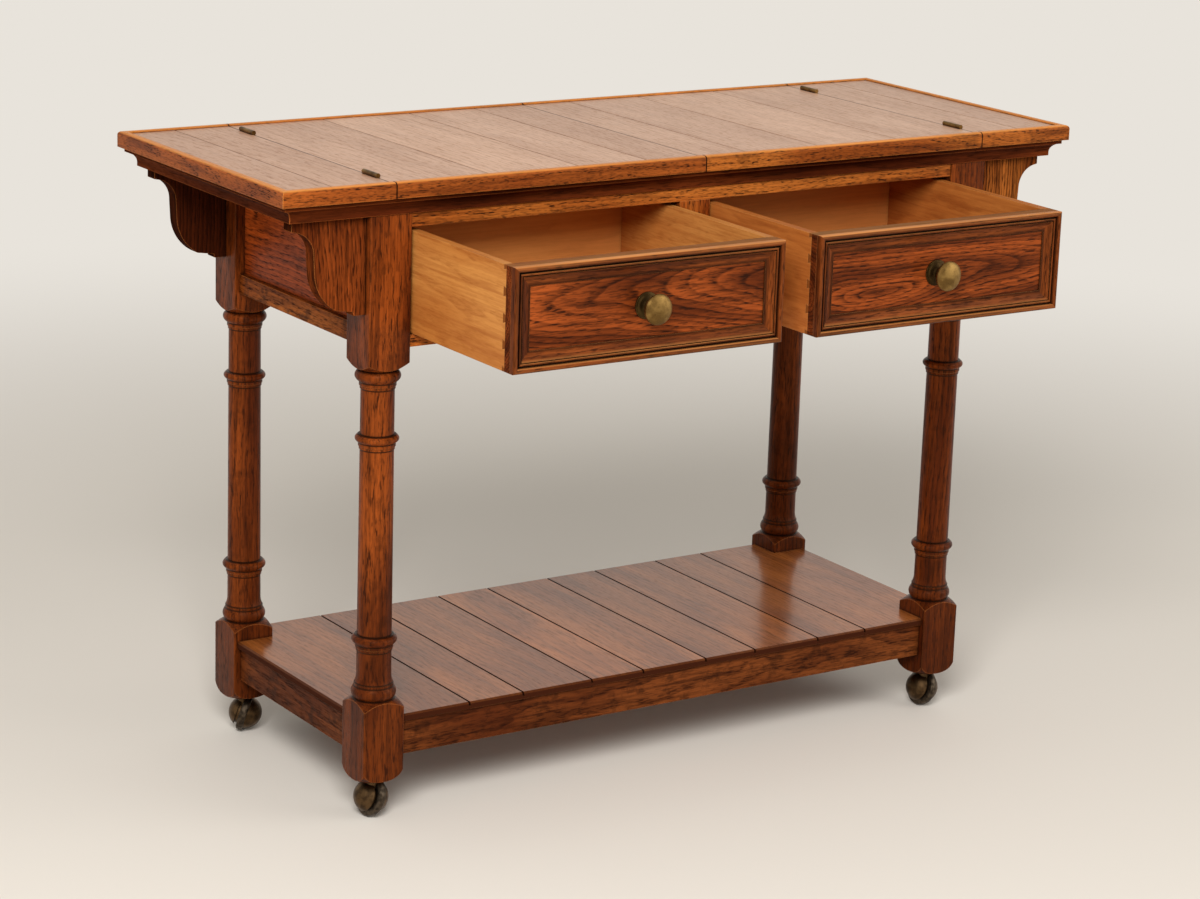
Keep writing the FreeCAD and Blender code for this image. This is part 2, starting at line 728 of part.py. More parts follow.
def main():
    """Build and write every piece."""
    for name, (side_x, side_y) in LEGS.items():
        save("leg_" + name, leg(side_x, side_y))
        save("bracket_" + name, bracket(side_x, side_y))
        save("caster_swivel_" + name, caster_swivel(name))
        save("caster_wheel_" + name, caster_wheel(name))
    for name, bar in zip(("front", "right", "back", "left"), cornice()):
        save("cornice_" + name, bar)
    board, laminate = sub_top()
    save("sub_top", board)
    save("serving_surface", laminate)
    for name, side, shares in (("left", -1, left_leaf_groove_shares), ("right", 1, right_leaf_groove_shares)):
        fixed, fixed_rims, leaf, leaf_rims = top_boards(side, shares, end_groove_shares)
        save("end_board_" + name, fixed)
        save("end_rim_" + name, *fixed_rims)
        save("leaf_board_" + name, leaf)
        save("leaf_rim_" + name, *leaf_rims)
        for node, moving in (("hinge_fixed_", False), ("hinge_leaf_", True)):
            halves = [hinge_half(side, centre, moving) for centre in (-hinge_reach, hinge_reach)]
            save(node + name, *halves)
    for name, solids in drawer_frame().items():
        save(name, *solids)
    for name, side in (("left", -1), ("right", 1)):
        for node, solids in drawer().items():
            for solid in solids:
                solid.translate(V(side * drawer_x, 0, 0))
            save("drawer_" + node + "_" + name, *solids)
    save("shelf_boards", *shelf())
    for name, solid in shelf_rails().items():
        save(name, solid)


main()
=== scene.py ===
"""Looks of the flip-top serving trolley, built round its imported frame.

Boards, rails, brackets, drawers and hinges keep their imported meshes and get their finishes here. The
turned legs, the knobs and the ball casters are modelled again, as smooth turnings.
"""

import logging
import math
from dataclasses import dataclass, field, replace
from enum import Enum
from functools import reduce
from typing import Any, Callable, Mapping, Sequence

import bpy
from mathutils import Matrix, Vector


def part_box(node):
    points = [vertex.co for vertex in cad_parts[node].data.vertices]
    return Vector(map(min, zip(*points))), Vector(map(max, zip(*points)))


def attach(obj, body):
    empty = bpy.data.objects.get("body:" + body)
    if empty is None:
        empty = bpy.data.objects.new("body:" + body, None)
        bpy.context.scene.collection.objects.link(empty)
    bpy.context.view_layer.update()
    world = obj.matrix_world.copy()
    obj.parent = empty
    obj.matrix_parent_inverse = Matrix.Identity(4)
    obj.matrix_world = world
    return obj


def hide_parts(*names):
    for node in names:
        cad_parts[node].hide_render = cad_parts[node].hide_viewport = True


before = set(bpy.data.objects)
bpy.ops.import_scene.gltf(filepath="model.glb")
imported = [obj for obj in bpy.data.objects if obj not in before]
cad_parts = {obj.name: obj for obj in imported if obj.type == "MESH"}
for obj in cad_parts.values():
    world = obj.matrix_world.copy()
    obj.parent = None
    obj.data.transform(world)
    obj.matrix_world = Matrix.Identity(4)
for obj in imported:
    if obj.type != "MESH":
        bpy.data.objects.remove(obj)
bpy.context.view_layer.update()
log = logging.getLogger("trolley")

Colour = tuple[float, float, float, float]
Pair = tuple[float, float]
Ring = Pair
Stops = Sequence[Pair]
Material = bpy.types.Material
Piece = bpy.types.Object


def stain(red: int, green: int, blue: int) -> Colour:
    """Colour from the three numbers of a paint chart, 0 to 255.

    Args:
        red: Red share.
        green: Green share.
        blue: Blue share.

    Returns:
        The colour as linear light, with full cover.
    """
    def linear(number: int) -> float:
        """One share as linear light."""
        share = number / 255
        return share / 12.92 if share <= 0.04045 else ((share + 0.055) / 1.055) ** 2.4

    return linear(red), linear(green), linear(blue), 1.0


WHITE = (1.0, 1.0, 1.0, 1.0)
WARM = stain(255, 206, 166)


class Axis(Enum):
    """A direction of the trolley's frame."""

    LENGTH = 0
    DEPTH = 1
    HEIGHT = 2


@dataclass(frozen=True)
class Tone:
    """A number, colour or vector inside a finish, which takes part in Python arithmetic."""

    recipe: "Recipe"
    socket: bpy.types.NodeSocket

    def _maths(self, operation: str, *values: "Tone | float") -> "Tone":
        """Add one Math node for an operation on the given values."""
        return self.recipe.node("ShaderNodeMath", {"operation": operation}, dict(enumerate(values)))

    def __add__(self, other: "Tone | float") -> "Tone":
        """Sum of two numbers."""
        return self._maths("ADD", self, other)

    __radd__ = __add__

    def __sub__(self, other: "Tone | float") -> "Tone":
        """This number less another."""
        return self._maths("SUBTRACT", self, other)

    def __rsub__(self, other: float) -> "Tone":
        """A plain number less this one."""
        return self._maths("SUBTRACT", other, self)

    def __mul__(self, other: "Tone | float") -> "Tone":
        """Product of two numbers."""
        return self._maths("MULTIPLY", self, other)

    __rmul__ = __mul__

    def __truediv__(self, other: "Tone | float") -> "Tone":
        """This number divided by another."""
        return self._maths("DIVIDE", self, other)

    def __gt__(self, other: "Tone | float") -> "Tone":
        """1 where this number is the larger one, and otherwise 0."""
        return self._maths("GREATER_THAN", self, other)

    def __lt__(self, other: "Tone | float") -> "Tone":
        """1 where this number is the smaller one, and otherwise 0."""
        return self._maths("LESS_THAN", self, other)

    def __abs__(self) -> "Tone":
        """Size of this number without its sign."""
        return self._maths("ABSOLUTE", self)

    def larger(self, other: "Tone") -> "Tone":
        """The larger of two numbers."""
        return self._maths("MAXIMUM", self, other)

    def nearer(self, other: "Tone") -> "Tone":
        """The smaller of two numbers."""
        return self._maths("MINIMUM", self, other)

    def root(self) -> "Tone":
        """Square root."""
        return self._maths("SQRT", self)

    def fraction(self) -> "Tone":
        """What is left after whole numbers are taken away."""
        return self._maths("FRACT", self)

    def between(self, low: float, high: float) -> "Tone":
        """Smooth rise from 0 at low to 1 at high."""
        limits = {"Value": self, "From Min": low, "From Max": high}
        return self.recipe.node("ShaderNodeMapRange", {"interpolation_type": "SMOOTHSTEP"}, limits)


Spot = tuple[Tone, Tone, Tone]


class Recipe:
    """The nodes of one finish, or of the surroundings, and the colour that they have built up."""

    def __init__(self, name: str, ground: Colour = WHITE, holder: bpy.types.World | None = None) -> None:
        """Start with a plain colour.

        Args:
            name: Name of the finish.
            ground: The colour.
            holder: The surroundings, where the nodes aren't those of a material.
        """
        self.colour: Tone | Colour = ground
        self.holder = holder or bpy.data.materials.new(name)
        self.holder.use_nodes = True
        self.tree = self.holder.node_tree
        self.tree.nodes.clear()

    def node(self, kind: str, settings: Mapping[str, Any] | None = None,
             sockets: Mapping[str | int, Any] | None = None, output: str | int = 0) -> Tone:
        """Add any node.

        Args:
            kind: Type of the node.
            settings: Its own settings, and the stops of a colour ramp.
            sockets: Values or links of its inputs, by name or number.
            output: Name or number of the output that is wanted.

        Returns:
            That output, or the input of a node that has no outputs.
        """
        made = self.tree.nodes.new(kind)
        for key, value in (settings or {}).items():
            if key == "stops":
                self._set_stops(made.color_ramp, value)
            else:
                setattr(made, key, value)
        for key, value in (sockets or {}).items():
            if isinstance(value, Tone):
                self.tree.links.new(value.socket, made.inputs[key])
            else:
                made.inputs[key].default_value = value
        return Tone(self, (made.outputs or made.inputs)[output])

    @staticmethod
    def _set_stops(ramp: bpy.types.ColorRamp, stops: Stops) -> None:
        """Give a ramp its stops.

        Args:
            ramp: The ramp of a new node.
            stops: Its stops as (place, brightness).
        """
        while len(ramp.elements) > 1:
            ramp.elements.remove(ramp.elements[-1])
        ramp.elements[0].position = stops[0][0]
        for place, _ in stops[1:]:
            ramp.elements.new(place)
        for element, (_, level) in zip(ramp.elements, stops):
            element.color = (level, level, level, 1.0)

    def place(self) -> Spot:
        """Place of a point in the trolley's frame.

        Returns:
            Its three numbers, in metres.
        """
        spot = self.node("ShaderNodeTexCoord", output="Object")
        split = self.node("ShaderNodeSeparateXYZ", {}, {"Vector": spot})
        return tuple(Tone(self, part) for part in split.socket.node.outputs)

    def cloud(self, spot: Spot, scale: float, cross: float | None = None, detail: float = 2.0,
              roughness: float = 0.5) -> Tone:
        """Soft random field round 0.5.

        Args:
            spot: The point.
            scale: Patches in a metre.
            cross: The same for the last two directions, where they differ from the first.
            detail: Layers of finer patches.
            roughness: Strength of the finer layers.

        Returns:
            The field.
        """
        scales = scale, cross or scale, cross or scale
        parts = dict(enumerate(part * number for part, number in zip(spot, scales)))
        sockets = {"Vector": self.node("ShaderNodeCombineXYZ", {}, parts), "Scale": 1.0,
                   "Detail": detail, "Roughness": roughness}
        return self.node("ShaderNodeTexNoise", {}, sockets)

    def lay(self, share: Tone | float, colour: Colour) -> None:
        """Lay a colour over what is there, as strongly as the share says."""
        sockets = {0: share, 6: self.colour, 7: colour}
        self.colour = self.node("ShaderNodeMix", {"data_type": "RGBA"}, sockets, output=2)

    def edges(self, radius: float) -> tuple[Tone, Tone]:
        """Softly rounded edges.

        Args:
            radius: Radius of the rounding.

        Returns:
            The rounded normal, and how much it differs from the real one, 0 on flat faces.
        """
        rounded = self.node("ShaderNodeBevel", {"samples": 4}, {"Radius": radius})
        flat = self.node("ShaderNodeNewGeometry", output="Normal")
        likeness = self.node("ShaderNodeVectorMath", {"operation": "DOT_PRODUCT"},
                             {0: rounded, 1: flat}, output="Value")
        return rounded, 1.0 - likeness

    def corners(self, reach: float, alone: bool) -> Tone:
        """How much a point lies in an inner corner, from 0 to 1.

        Args:
            reach: How far from the corner the effect goes.
            alone: True if only the piece itself counts.

        Returns:
            The share of the sky that is hidden nearby.
        """
        settings = {"samples": 6, "only_local": alone}
        return 1.0 - self.node("ShaderNodeAmbientOcclusion", settings, {"Distance": reach}, output="AO")

    def toward(self, axis: Axis) -> Tone:
        """Part of the surface's normal along an axis, from -1 to 1."""
        normal = self.node("ShaderNodeNewGeometry", output="Normal")
        return self.node("ShaderNodeSeparateXYZ", {}, {"Vector": normal}, output=axis.value)

    def bump(self, height: Tone, strength: float, distance: float, normal: Tone) -> Tone:
        """Normal of a surface with small relief."""
        sockets = {"Height": height, "Strength": strength, "Distance": distance, "Normal": normal}
        return self.node("ShaderNodeBump", {}, sockets)

    def finish(self, **sockets: Tone | float | Colour) -> Material:
        """Close the recipe with a shader in its colour.

        Args:
            sockets: Other inputs of the shader, with spaces written as underscores.

        Returns:
            The finished material.
        """
        named = {key.replace("_", " "): value for key, value in sockets.items()}
        named["Base Color"] = self.colour
        self.close(self.node("ShaderNodeBsdfPrincipled", {}, named))
        return self.holder

    def shown(self) -> Tone:
        """Where a thing is looked at, straight or in a shiny or clear surface.

        Returns:
            1 there, and 0 where it only gives light.
        """
        camera, glossy, clear = (self.node("ShaderNodeLightPath", output=f"Is {kind} Ray")
                                 for kind in ("Camera", "Glossy", "Transmission"))
        return camera.larger(glossy).larger(clear)

    def blend(self, share: Tone, first: Tone, second: Tone) -> Tone:
        """Shader between two others, with the given share of the second."""
        return self.node("ShaderNodeMixShader", {}, {0: share, 1: first, 2: second})

    def close(self, shader: Tone, kind: str = "ShaderNodeOutputMaterial") -> None:
        """Give the shader to an output node of the given kind."""
        self.node(kind, {}, {"Surface": shader})


@dataclass(frozen=True)
class Cut:
    """How a board was sawn out of its log."""

    along: Axis
    through: Axis
    heart: Pair = (0.0, 0.0)
    lean: float = 0.04

    def order(self, place: Spot) -> Spot:
        """Place as (along the grain, across the face, through the board)."""
        across = next(axis for axis in Axis if axis not in (self.along, self.through))
        return place[self.along.value], place[across.value], place[self.through.value]


def nearest(number: Tone, marks: Sequence[float]) -> Tone:
    """Distance from a number to the nearest of several marks."""
    return reduce(Tone.nearer, (abs(number - mark) for mark in marks))


def line(distance: Tone, span: Pair, strength: float) -> Tone:
    """Strength of a fine line that is full near its middle and gone past the span."""
    return distance.between(*span) * -strength + strength


@dataclass(frozen=True)
class MitredFrame:
    """Frame of four bars that meet in mitres, the shorter two cut from their own stock."""

    cut: Cut
    middle: Pair
    half: Pair
    axes: tuple[Axis, Axis]
    width: float = 0.0
    highlight_and_wear_stops: Stops = ()
    shade_and_dirt_stops: Stops = ()

    def inward(self, place: Spot) -> tuple[Tone, Tone]:
        """How far a point is from the outer edges, over the shorter and over the longer bars."""
        side, top = (self.half[k] - abs(place[self.axes[k].value] - self.middle[k]) for k in (0, 1))
        return side, top

    def share(self, place: Spot) -> Tone:
        """1 on the shorter bars, and 0 on the longer ones."""
        side, top = self.inward(place)
        return top > side

    def band(self, recipe: Recipe, place: Spot, stops: Stops) -> Tone:
        """Strength that changes over the width of the bars.

        Args:
            recipe: The finish that it goes into.
            place: The point.
            stops: Strengths, from the outer edge at 0 to the inner edge at 1.

        Returns:
            The strength.
        """
        side, top = self.inward(place)
        return recipe.node("ShaderNodeValToRGB", {"stops": stops}, {"Fac": side.nearer(top) / self.width})


@dataclass(frozen=True)
class Lighter:
    """Lighter colour behind a line across a drawer: between its sides on a board with its own cut, where it
    is painted light, or out at them, where the wood is paler.
    """

    start: float
    middle: float
    half: float
    colour: Colour
    cover: float
    cut: Cut | None = None

    def share(self, place: Spot) -> Tone:
        """1 where the colour is lighter: on a board with its own cut between the sides, or else out at
        them.
        """
        aside = abs(place[0] - self.middle)
        return (place[1] > self.start) * (aside < self.half if self.cut else aside > self.half)


RING_STOPS = ((0.0, 0.9), (0.08, 1.0), (0.30, 0.45), (0.62, 0.10), (0.90, 0.0), (1.0, 0.9))


@dataclass(frozen=True)
class Grain:
    """Growth rings, pores, fibres and slow changes of tone in a board.

    A scale is in patches to a metre, along the grain and across it.
    """

    ring_width: float = 0.0075
    wander: float = 0.016
    ripple: float = 1.3
    pore_length: float = 0.015
    pore_width: float = 0.0018
    pore_share: float = 0.50
    pore_edge: float = 0.12
    stray_pores: float = 0.4
    fibre_scale: float = 5.0
    fibre_width: float = 0.0032
    broad: float = 0.25
    broad_rings: float = 5.3
    broad_span: Pair = (0.1, 0.9)
    drift_scale: Pair = (3.1, 8.0)
    drift_reach: float = 2.0
    sway_scale: Pair = (2.3, 5.0)
    sway_start: float = 7.0 / 2.3
    sway_reach: float = 4.0
    tremble_scale: Pair = (16.0, 60.0)
    cloud_scale: Pair = (4.0, 14.0)
    cloud_span: Pair = (0.36, 0.64)
    streak_scale: Pair = (8.0, 110.0)
    streak_span: Pair = (0.50, 0.70)

    def fields(self, recipe: Recipe, cut: Cut, spot: Spot) -> dict[str, Tone]:
        """Make the grain's fields.

        Args:
            recipe: The finish that they go into.
            cut: How the board was sawn.
            spot: Place as (along, across, through).

        Returns:
            Rings, pores, fibres, streaks and clouds, each from 0 to 1.
        """
        along, across, through = spot
        drift = recipe.cloud(spot, *self.drift_scale) - 0.5
        further = along + self.sway_start, across, through
        sway = recipe.cloud(further, *self.sway_scale, detail=1.0) - 0.5
        tremble = recipe.cloud(spot, *self.tremble_scale) - 0.5
        aside = across - cut.heart[0] + sway * (self.sway_reach * self.wander)
        depth = through - cut.heart[1] + along * cut.lean + drift * (self.drift_reach * self.wander)
        radius = (aside * aside + depth * depth).root() + tremble * (self.ripple * self.ring_width)
        turn = (radius / self.ring_width).fraction()
        rings = recipe.node("ShaderNodeValToRGB", {"stops": RING_STOPS}, {"Fac": turn})
        pores = recipe.cloud(spot, 1.0 / self.pore_length, 1.0 / self.pore_width, detail=1.0)
        pores = pores.between(self.pore_share, self.pore_share + self.pore_edge)
        clouds = recipe.cloud(spot, *self.cloud_scale, detail=4.0).between(*self.cloud_span)
        broad = abs((radius / (self.broad_rings * self.ring_width)).fraction() - 0.5) * 2.0
        return {"rings": rings,
                "pores": pores * (rings * (1.0 - self.stray_pores) + self.stray_pores),
                "fibres": recipe.cloud(spot, self.fibre_scale, 1.0 / self.fibre_width, detail=3.0),
                "streaks": recipe.cloud(spot, *self.streak_scale, detail=3.0).between(*self.streak_span),
                "clouds": clouds * (1.0 - self.broad) + broad.between(*self.broad_span) * self.broad}


@dataclass(frozen=True)
class MarksAndShade:
    """How stain, dirt, wear and painted light and shade lie on oak, the same in all its finishes.

    A span is where an effect starts and where it is full.
    """

    board_shift: tuple[float, float, float] = (3.0, 0.7, 0.02)
    board_lift: float = 0.12
    board_span: Pair = (0.0, 0.5)
    board_cover: float = 0.6
    groove_span: Pair = (0.0004, 0.0016)
    groove_dirt: float = 0.85
    crease_span: Pair = (0.0004, 0.0017)
    crease_dirt_and_shade: float = 0.85
    seam_span: Pair = (0.0005, 0.0015)
    seam_dirt: float = 0.9
    seam_shelter: Pair = (0.001, 0.006)
    fibre_span: Pair = (0.38, 0.72)
    ring_floor: float = 0.55
    low_span: Pair = (0.05, 0.42)
    side_span: Pair = (0.6, 0.95)
    side_roughness: float = 0.4
    soot_scale: float = 38.0
    soot_roughness: float = 0.65
    soot_span: Pair = (0.50, 0.66)
    edge_span: Pair = (0.01, 0.14)
    corner_shelter: Pair = (0.25, 0.5)
    upward_span: Pair = (0.5, 0.95)
    downward_span: Pair = (-0.9, -0.5)
    cloud_wear: float = 0.4
    fibre_wear: float = 0.5
    least_wear: float = 0.3
    gold_span: Pair = (0.25, 0.65)
    gold_loss_in_shade: float = 0.75
    pore_roughness: float = 0.2
    fibre_roughness: float = 0.1
    pore_depth: float = 0.8
    ring_depth: float = 0.2
    relief_height: float = 0.0008


@dataclass(frozen=True)
class Oak:
    """Stained, glazed and waxed oak, worn along its edges, with painted light and shade."""

    name: str
    pale: Colour
    body: Colour
    dark: Colour
    pore: Colour = stain(34, 12, 5)
    worn: Colour = stain(214, 128, 62)
    grime_and_shade: Colour = stain(22, 8, 4)
    grain: Grain = Grain()
    ring_strength: float = 0.75
    pore_strength: float = 0.75
    fibre_strength: float = 0.35
    streak_strength: float = 0.45
    side_shade: float = 0.0
    low_shade: float = 0.0
    soot: float = 0.0
    lit_and_worn_tops: float = 0.0
    plank_strength: float = 0.30
    wear: float = 0.75
    edge_radius: float = 0.0016
    grime_and_shade_reach: float = 0.010
    grime_and_shade_strength: float = 0.9
    grime_and_shade_span: Pair = (0.30, 0.85)
    roughness: float = 0.36
    relief: float = 0.12
    gloss: float = 0.10
    wax: float = 0.0
    wax_roughness: float = 0.19
    wax_index: float = 1.62
    sheen: Colour = WARM
    alone: bool = False
    marks_and_shade: MarksAndShade = MarksAndShade()

    def material(self, cut: Cut, joints: Sequence[float] = (), other: MitredFrame | Lighter | None = None,
                 paler: Lighter | None = None, seams: Sequence[float] = (),
                 creases: Sequence[float] = ()) -> Material:
        """Mix the finish for one board.

        Args:
            cut: How the board was sawn.
            joints: Places along the length where board meets board, with a groove.
            other: Pieces of the same node whose grain runs another way.
            paler: Where the colour is lighter, as paler wood or as painted light.
            seams: Places along the length where a run is butted, dark and little worn.
            creases: Heights of the turned creases, painted dark with shade and grime.

        Returns:
            The material.
        """
        recipe, marks_and_shade = Recipe(self.name, self.pale), self.marks_and_shade
        place = recipe.place()
        spot, shift = cut.order(place), None
        if joints:
            count = sum((place[0] > joint for joint in joints), start=place[0] * 0.0)
            shift = recipe.node("ShaderNodeTexWhiteNoise", {"noise_dimensions": "1D"}, {"W": count + 0.5})
            spot = tuple(part + shift * reach for part, reach in zip(spot, marks_and_shade.board_shift))
        fields = self.grain.fields(recipe, cut, spot)
        if other:
            second = self.grain.fields(recipe, other.cut, other.cut.order(place))
            share = other.share(place)
            fields = {key: field + (second[key] - field) * share for key, field in fields.items()}
        self._stain(recipe, fields)
        if shift:
            lift = (shift - 0.5) * self.plank_strength + marks_and_shade.board_lift
            recipe.lay(lift.between(*marks_and_shade.board_span) * marks_and_shade.board_cover, self.dark)
            recipe.lay(line(nearest(place[0], joints), marks_and_shade.groove_span, marks_and_shade.groove_dirt), self.grime_and_shade)
        recipe.lay(fields["pores"] * self.pore_strength, self.pore)
        if paler:
            recipe.lay(paler.share(place) * paler.cover, paler.colour)
        side = None
        if self.side_shade:
            side = 1.0 - abs(recipe.toward(cut.through)).between(*marks_and_shade.side_span)
        self._shade_and_soot(recipe, place, side)
        rounded, change = recipe.edges(self.edge_radius)
        corner = recipe.corners(self.grime_and_shade_reach, self.alone)
        worn = change.between(*marks_and_shade.edge_span) * self.wear
        worn = worn * (1.0 - corner.between(*marks_and_shade.corner_shelter))
        self._age(recipe, place, fields, worn, other, seams)
        # Painted shade with grime along the turned creases.
        if creases:
            recipe.lay(line(nearest(place[2], creases), marks_and_shade.crease_span, marks_and_shade.crease_dirt_and_shade), self.grime_and_shade)
        # Painted shade with grime: darker in inner corners, as deep as the occlusion finds them, except on
        # faces that look down.
        low = recipe.toward(Axis.HEIGHT).between(*marks_and_shade.downward_span)
        recipe.lay(corner.between(*self.grime_and_shade_span) * self.grime_and_shade_strength * low, self.grime_and_shade)
        roughness = self.roughness + fields["pores"] * marks_and_shade.pore_roughness
        roughness = roughness + fields["fibres"] * marks_and_shade.fibre_roughness - marks_and_shade.fibre_roughness / 2
        relief = 1.0 - fields["pores"] * marks_and_shade.pore_depth - fields["rings"] * marks_and_shade.ring_depth
        return recipe.finish(Roughness=roughness + side * marks_and_shade.side_roughness if side else roughness,
                             Normal=recipe.bump(relief, self.relief, marks_and_shade.relief_height, rounded),
                             Specular_IOR_Level=self.gloss, Specular_Tint=self.sheen,
                             Coat_Weight=(1.0 - side) * self.wax if side and self.wax else self.wax,
                             Coat_Roughness=self.wax_roughness, Coat_IOR=self.wax_index)

    def _stain(self, recipe: Recipe, fields: dict[str, Tone]) -> None:
        """Lay the stain over the board, darker in its fibres, streaks and rings.

        Args:
            recipe: The finish.
            fields: The grain's fields.
        """
        floor = self.marks_and_shade.ring_floor
        recipe.lay(fields["clouds"], self.body)
        recipe.lay(fields["fibres"].between(*self.marks_and_shade.fibre_span) * self.fibre_strength, self.dark)
        recipe.lay(fields["streaks"] * self.streak_strength, self.dark)
        rings = fields["rings"] * self.ring_strength
        recipe.lay(rings * (fields["clouds"] * (1.0 - floor) + floor), self.dark)

    def _shade_and_soot(self, recipe: Recipe, place: Spot, side: Tone | None) -> None:
        """Paint shade on the board's low parts and side faces, and lay soot in patches all over it.

        Args:
            recipe: The finish.
            place: The point.
            side: 1 on the side faces.
        """
        # Painted shade: darker toward the floor.
        if self.low_shade:
            recipe.lay((1.0 - place[2].between(*self.marks_and_shade.low_span)) * self.low_shade, self.dark)
        # Painted shade on the side faces.
        if side:
            recipe.lay(side * self.side_shade, self.dark)
        if self.soot:
            soot = recipe.cloud(place, self.marks_and_shade.soot_scale, detail=5.0,
                                roughness=self.marks_and_shade.soot_roughness)
            recipe.lay(soot.between(*self.marks_and_shade.soot_span) * self.soot, self.grime_and_shade)

    def _age(self, recipe: Recipe, place: Spot, fields: dict[str, Tone], worn: Tone,
             other: MitredFrame | Lighter | None, seams: Sequence[float]) -> None:
        """Lighten the faces that look up with painted light and wear, paint highlights and shade with wear
        and grime across the mouldings, and wear the edges.

        Args:
            recipe: The finish.
            place: The point.
            fields: The grain's fields.
            worn: How worn the edges are.
            other: The frame, where the board is a moulding.
            seams: Butted joints, dark and little worn.
        """
        marks_and_shade = self.marks_and_shade
        patchy = fields["clouds"] * marks_and_shade.cloud_wear + fields["fibres"] * marks_and_shade.fibre_wear
        patchy = patchy + marks_and_shade.least_wear
        # Painted light with wear: the faces that look up are made lighter.
        if self.lit_and_worn_tops:
            upward = recipe.toward(Axis.HEIGHT).between(*marks_and_shade.upward_span)
            recipe.lay(upward * patchy * self.lit_and_worn_tops, self.worn)
        # Painted highlights with wear on the moulding's crests, fainter on the shorter bars, which are
        # painted as shaded; then painted shade with grime in its quirks and beside the panel.
        if isinstance(other, MitredFrame) and other.width:
            highlight_and_wear = other.band(recipe, place, other.highlight_and_wear_stops) * fields["fibres"].between(*marks_and_shade.gold_span)
            recipe.lay(highlight_and_wear * (1.0 - other.share(place) * marks_and_shade.gold_loss_in_shade) * self.wear, self.worn)
            recipe.lay(other.band(recipe, place, other.shade_and_dirt_stops), self.grime_and_shade)
        worn = worn * patchy
        if seams:
            distance = nearest(place[0], seams)
            worn = worn * distance.between(*marks_and_shade.seam_shelter)
            recipe.lay(line(distance, marks_and_shade.seam_span, marks_and_shade.seam_dirt), self.grime_and_shade)
        recipe.lay(worn, self.worn)


@dataclass(frozen=True)
class Metal:
    """Brass with a patina that is darker in its corners and brighter along its edges."""

    name: str
    bright: Colour
    aged: Colour
    dark: Colour
    roughness: float = 0.34
    roughness_middle: float = 0.17
    blotch: float = 60.0
    blotch_span: Pair = (0.38, 0.64)
    blotch_roughness: float = 0.25
    speck: float = 700.0
    speck_span: Pair = (0.60, 0.75)
    speck_cover: float = 0.5
    speck_roughness: float = 0.1
    edge_radius: float = 0.0006
    edge_span: Pair = (0.02, 0.2)
    edge_cover: float = 0.6
    reach: float = 0.006
    corner_span: Pair = (0.10, 0.6)
    behind_shade_cover: float = 0.8
    relief: float = 0.12
    relief_height: float = 0.0002

    def material(self, behind: Pair | None = None) -> Material:
        """Mix the finish.

        Args:
            behind: Places along the depth between which painted shade darkens the metal.

        Returns:
            The material.
        """
        recipe = Recipe(self.name, self.bright)
        place = recipe.place()
        patches = recipe.cloud(place, self.blotch, detail=4.0)
        specks = recipe.cloud(place, self.speck)
        rounded, change = recipe.edges(self.edge_radius)
        recipe.lay(patches.between(*self.blotch_span), self.aged)
        recipe.lay(recipe.corners(self.reach, True).between(*self.corner_span), self.dark)
        recipe.lay(specks.between(*self.speck_span) * self.speck_cover, self.dark)
        # Painted shade toward the back of the piece.
        if behind:
            recipe.lay(place[1].between(*behind) * self.behind_shade_cover, self.dark)
        recipe.lay(change.between(*self.edge_span) * self.edge_cover, self.bright)
        roughness = patches * self.blotch_roughness + specks * self.speck_roughness
        return recipe.finish(Roughness=roughness + (self.roughness - self.roughness_middle),
                             Normal=recipe.bump(specks, self.relief, self.relief_height, rounded),
                             Metallic=1.0)


@dataclass(frozen=True)
class Laminate:
    """Dark satin laminate with a fine fleck."""

    name: str
    ground: Colour
    fleck: Colour
    fleck_scale: float = 900.0
    fleck_span: Pair = (0.55, 0.7)
    fleck_cover: float = 0.5
    haze_scale: float = 9.0
    haze_roughness: float = 0.15
    roughness: float = 0.30
    edge_radius: float = 0.0005
    relief: float = 0.08
    relief_height: float = 0.0002

    def material(self) -> Material:
        """Mix the finish.

        Returns:
            The material.
        """
        recipe = Recipe(self.name, self.ground)
        place = recipe.place()
        flecks = recipe.cloud(place, self.fleck_scale).between(*self.fleck_span)
        haze = recipe.cloud(place, self.haze_scale, detail=3.0)
        recipe.lay(flecks * self.fleck_cover, self.fleck)
        rounded, _ = recipe.edges(self.edge_radius)
        return recipe.finish(Roughness=haze * self.haze_roughness + self.roughness,
                             Normal=recipe.bump(flecks, self.relief, self.relief_height, rounded))


class Pick(Enum):
    """What is selected of a piece."""

    POINTS = "VERT"
    EDGES = "EDGE"


class Meeting(Enum):
    """What happens to a piece where another one meets it."""

    CUT = "DIFFERENCE"
    KEEP = "INTERSECT"


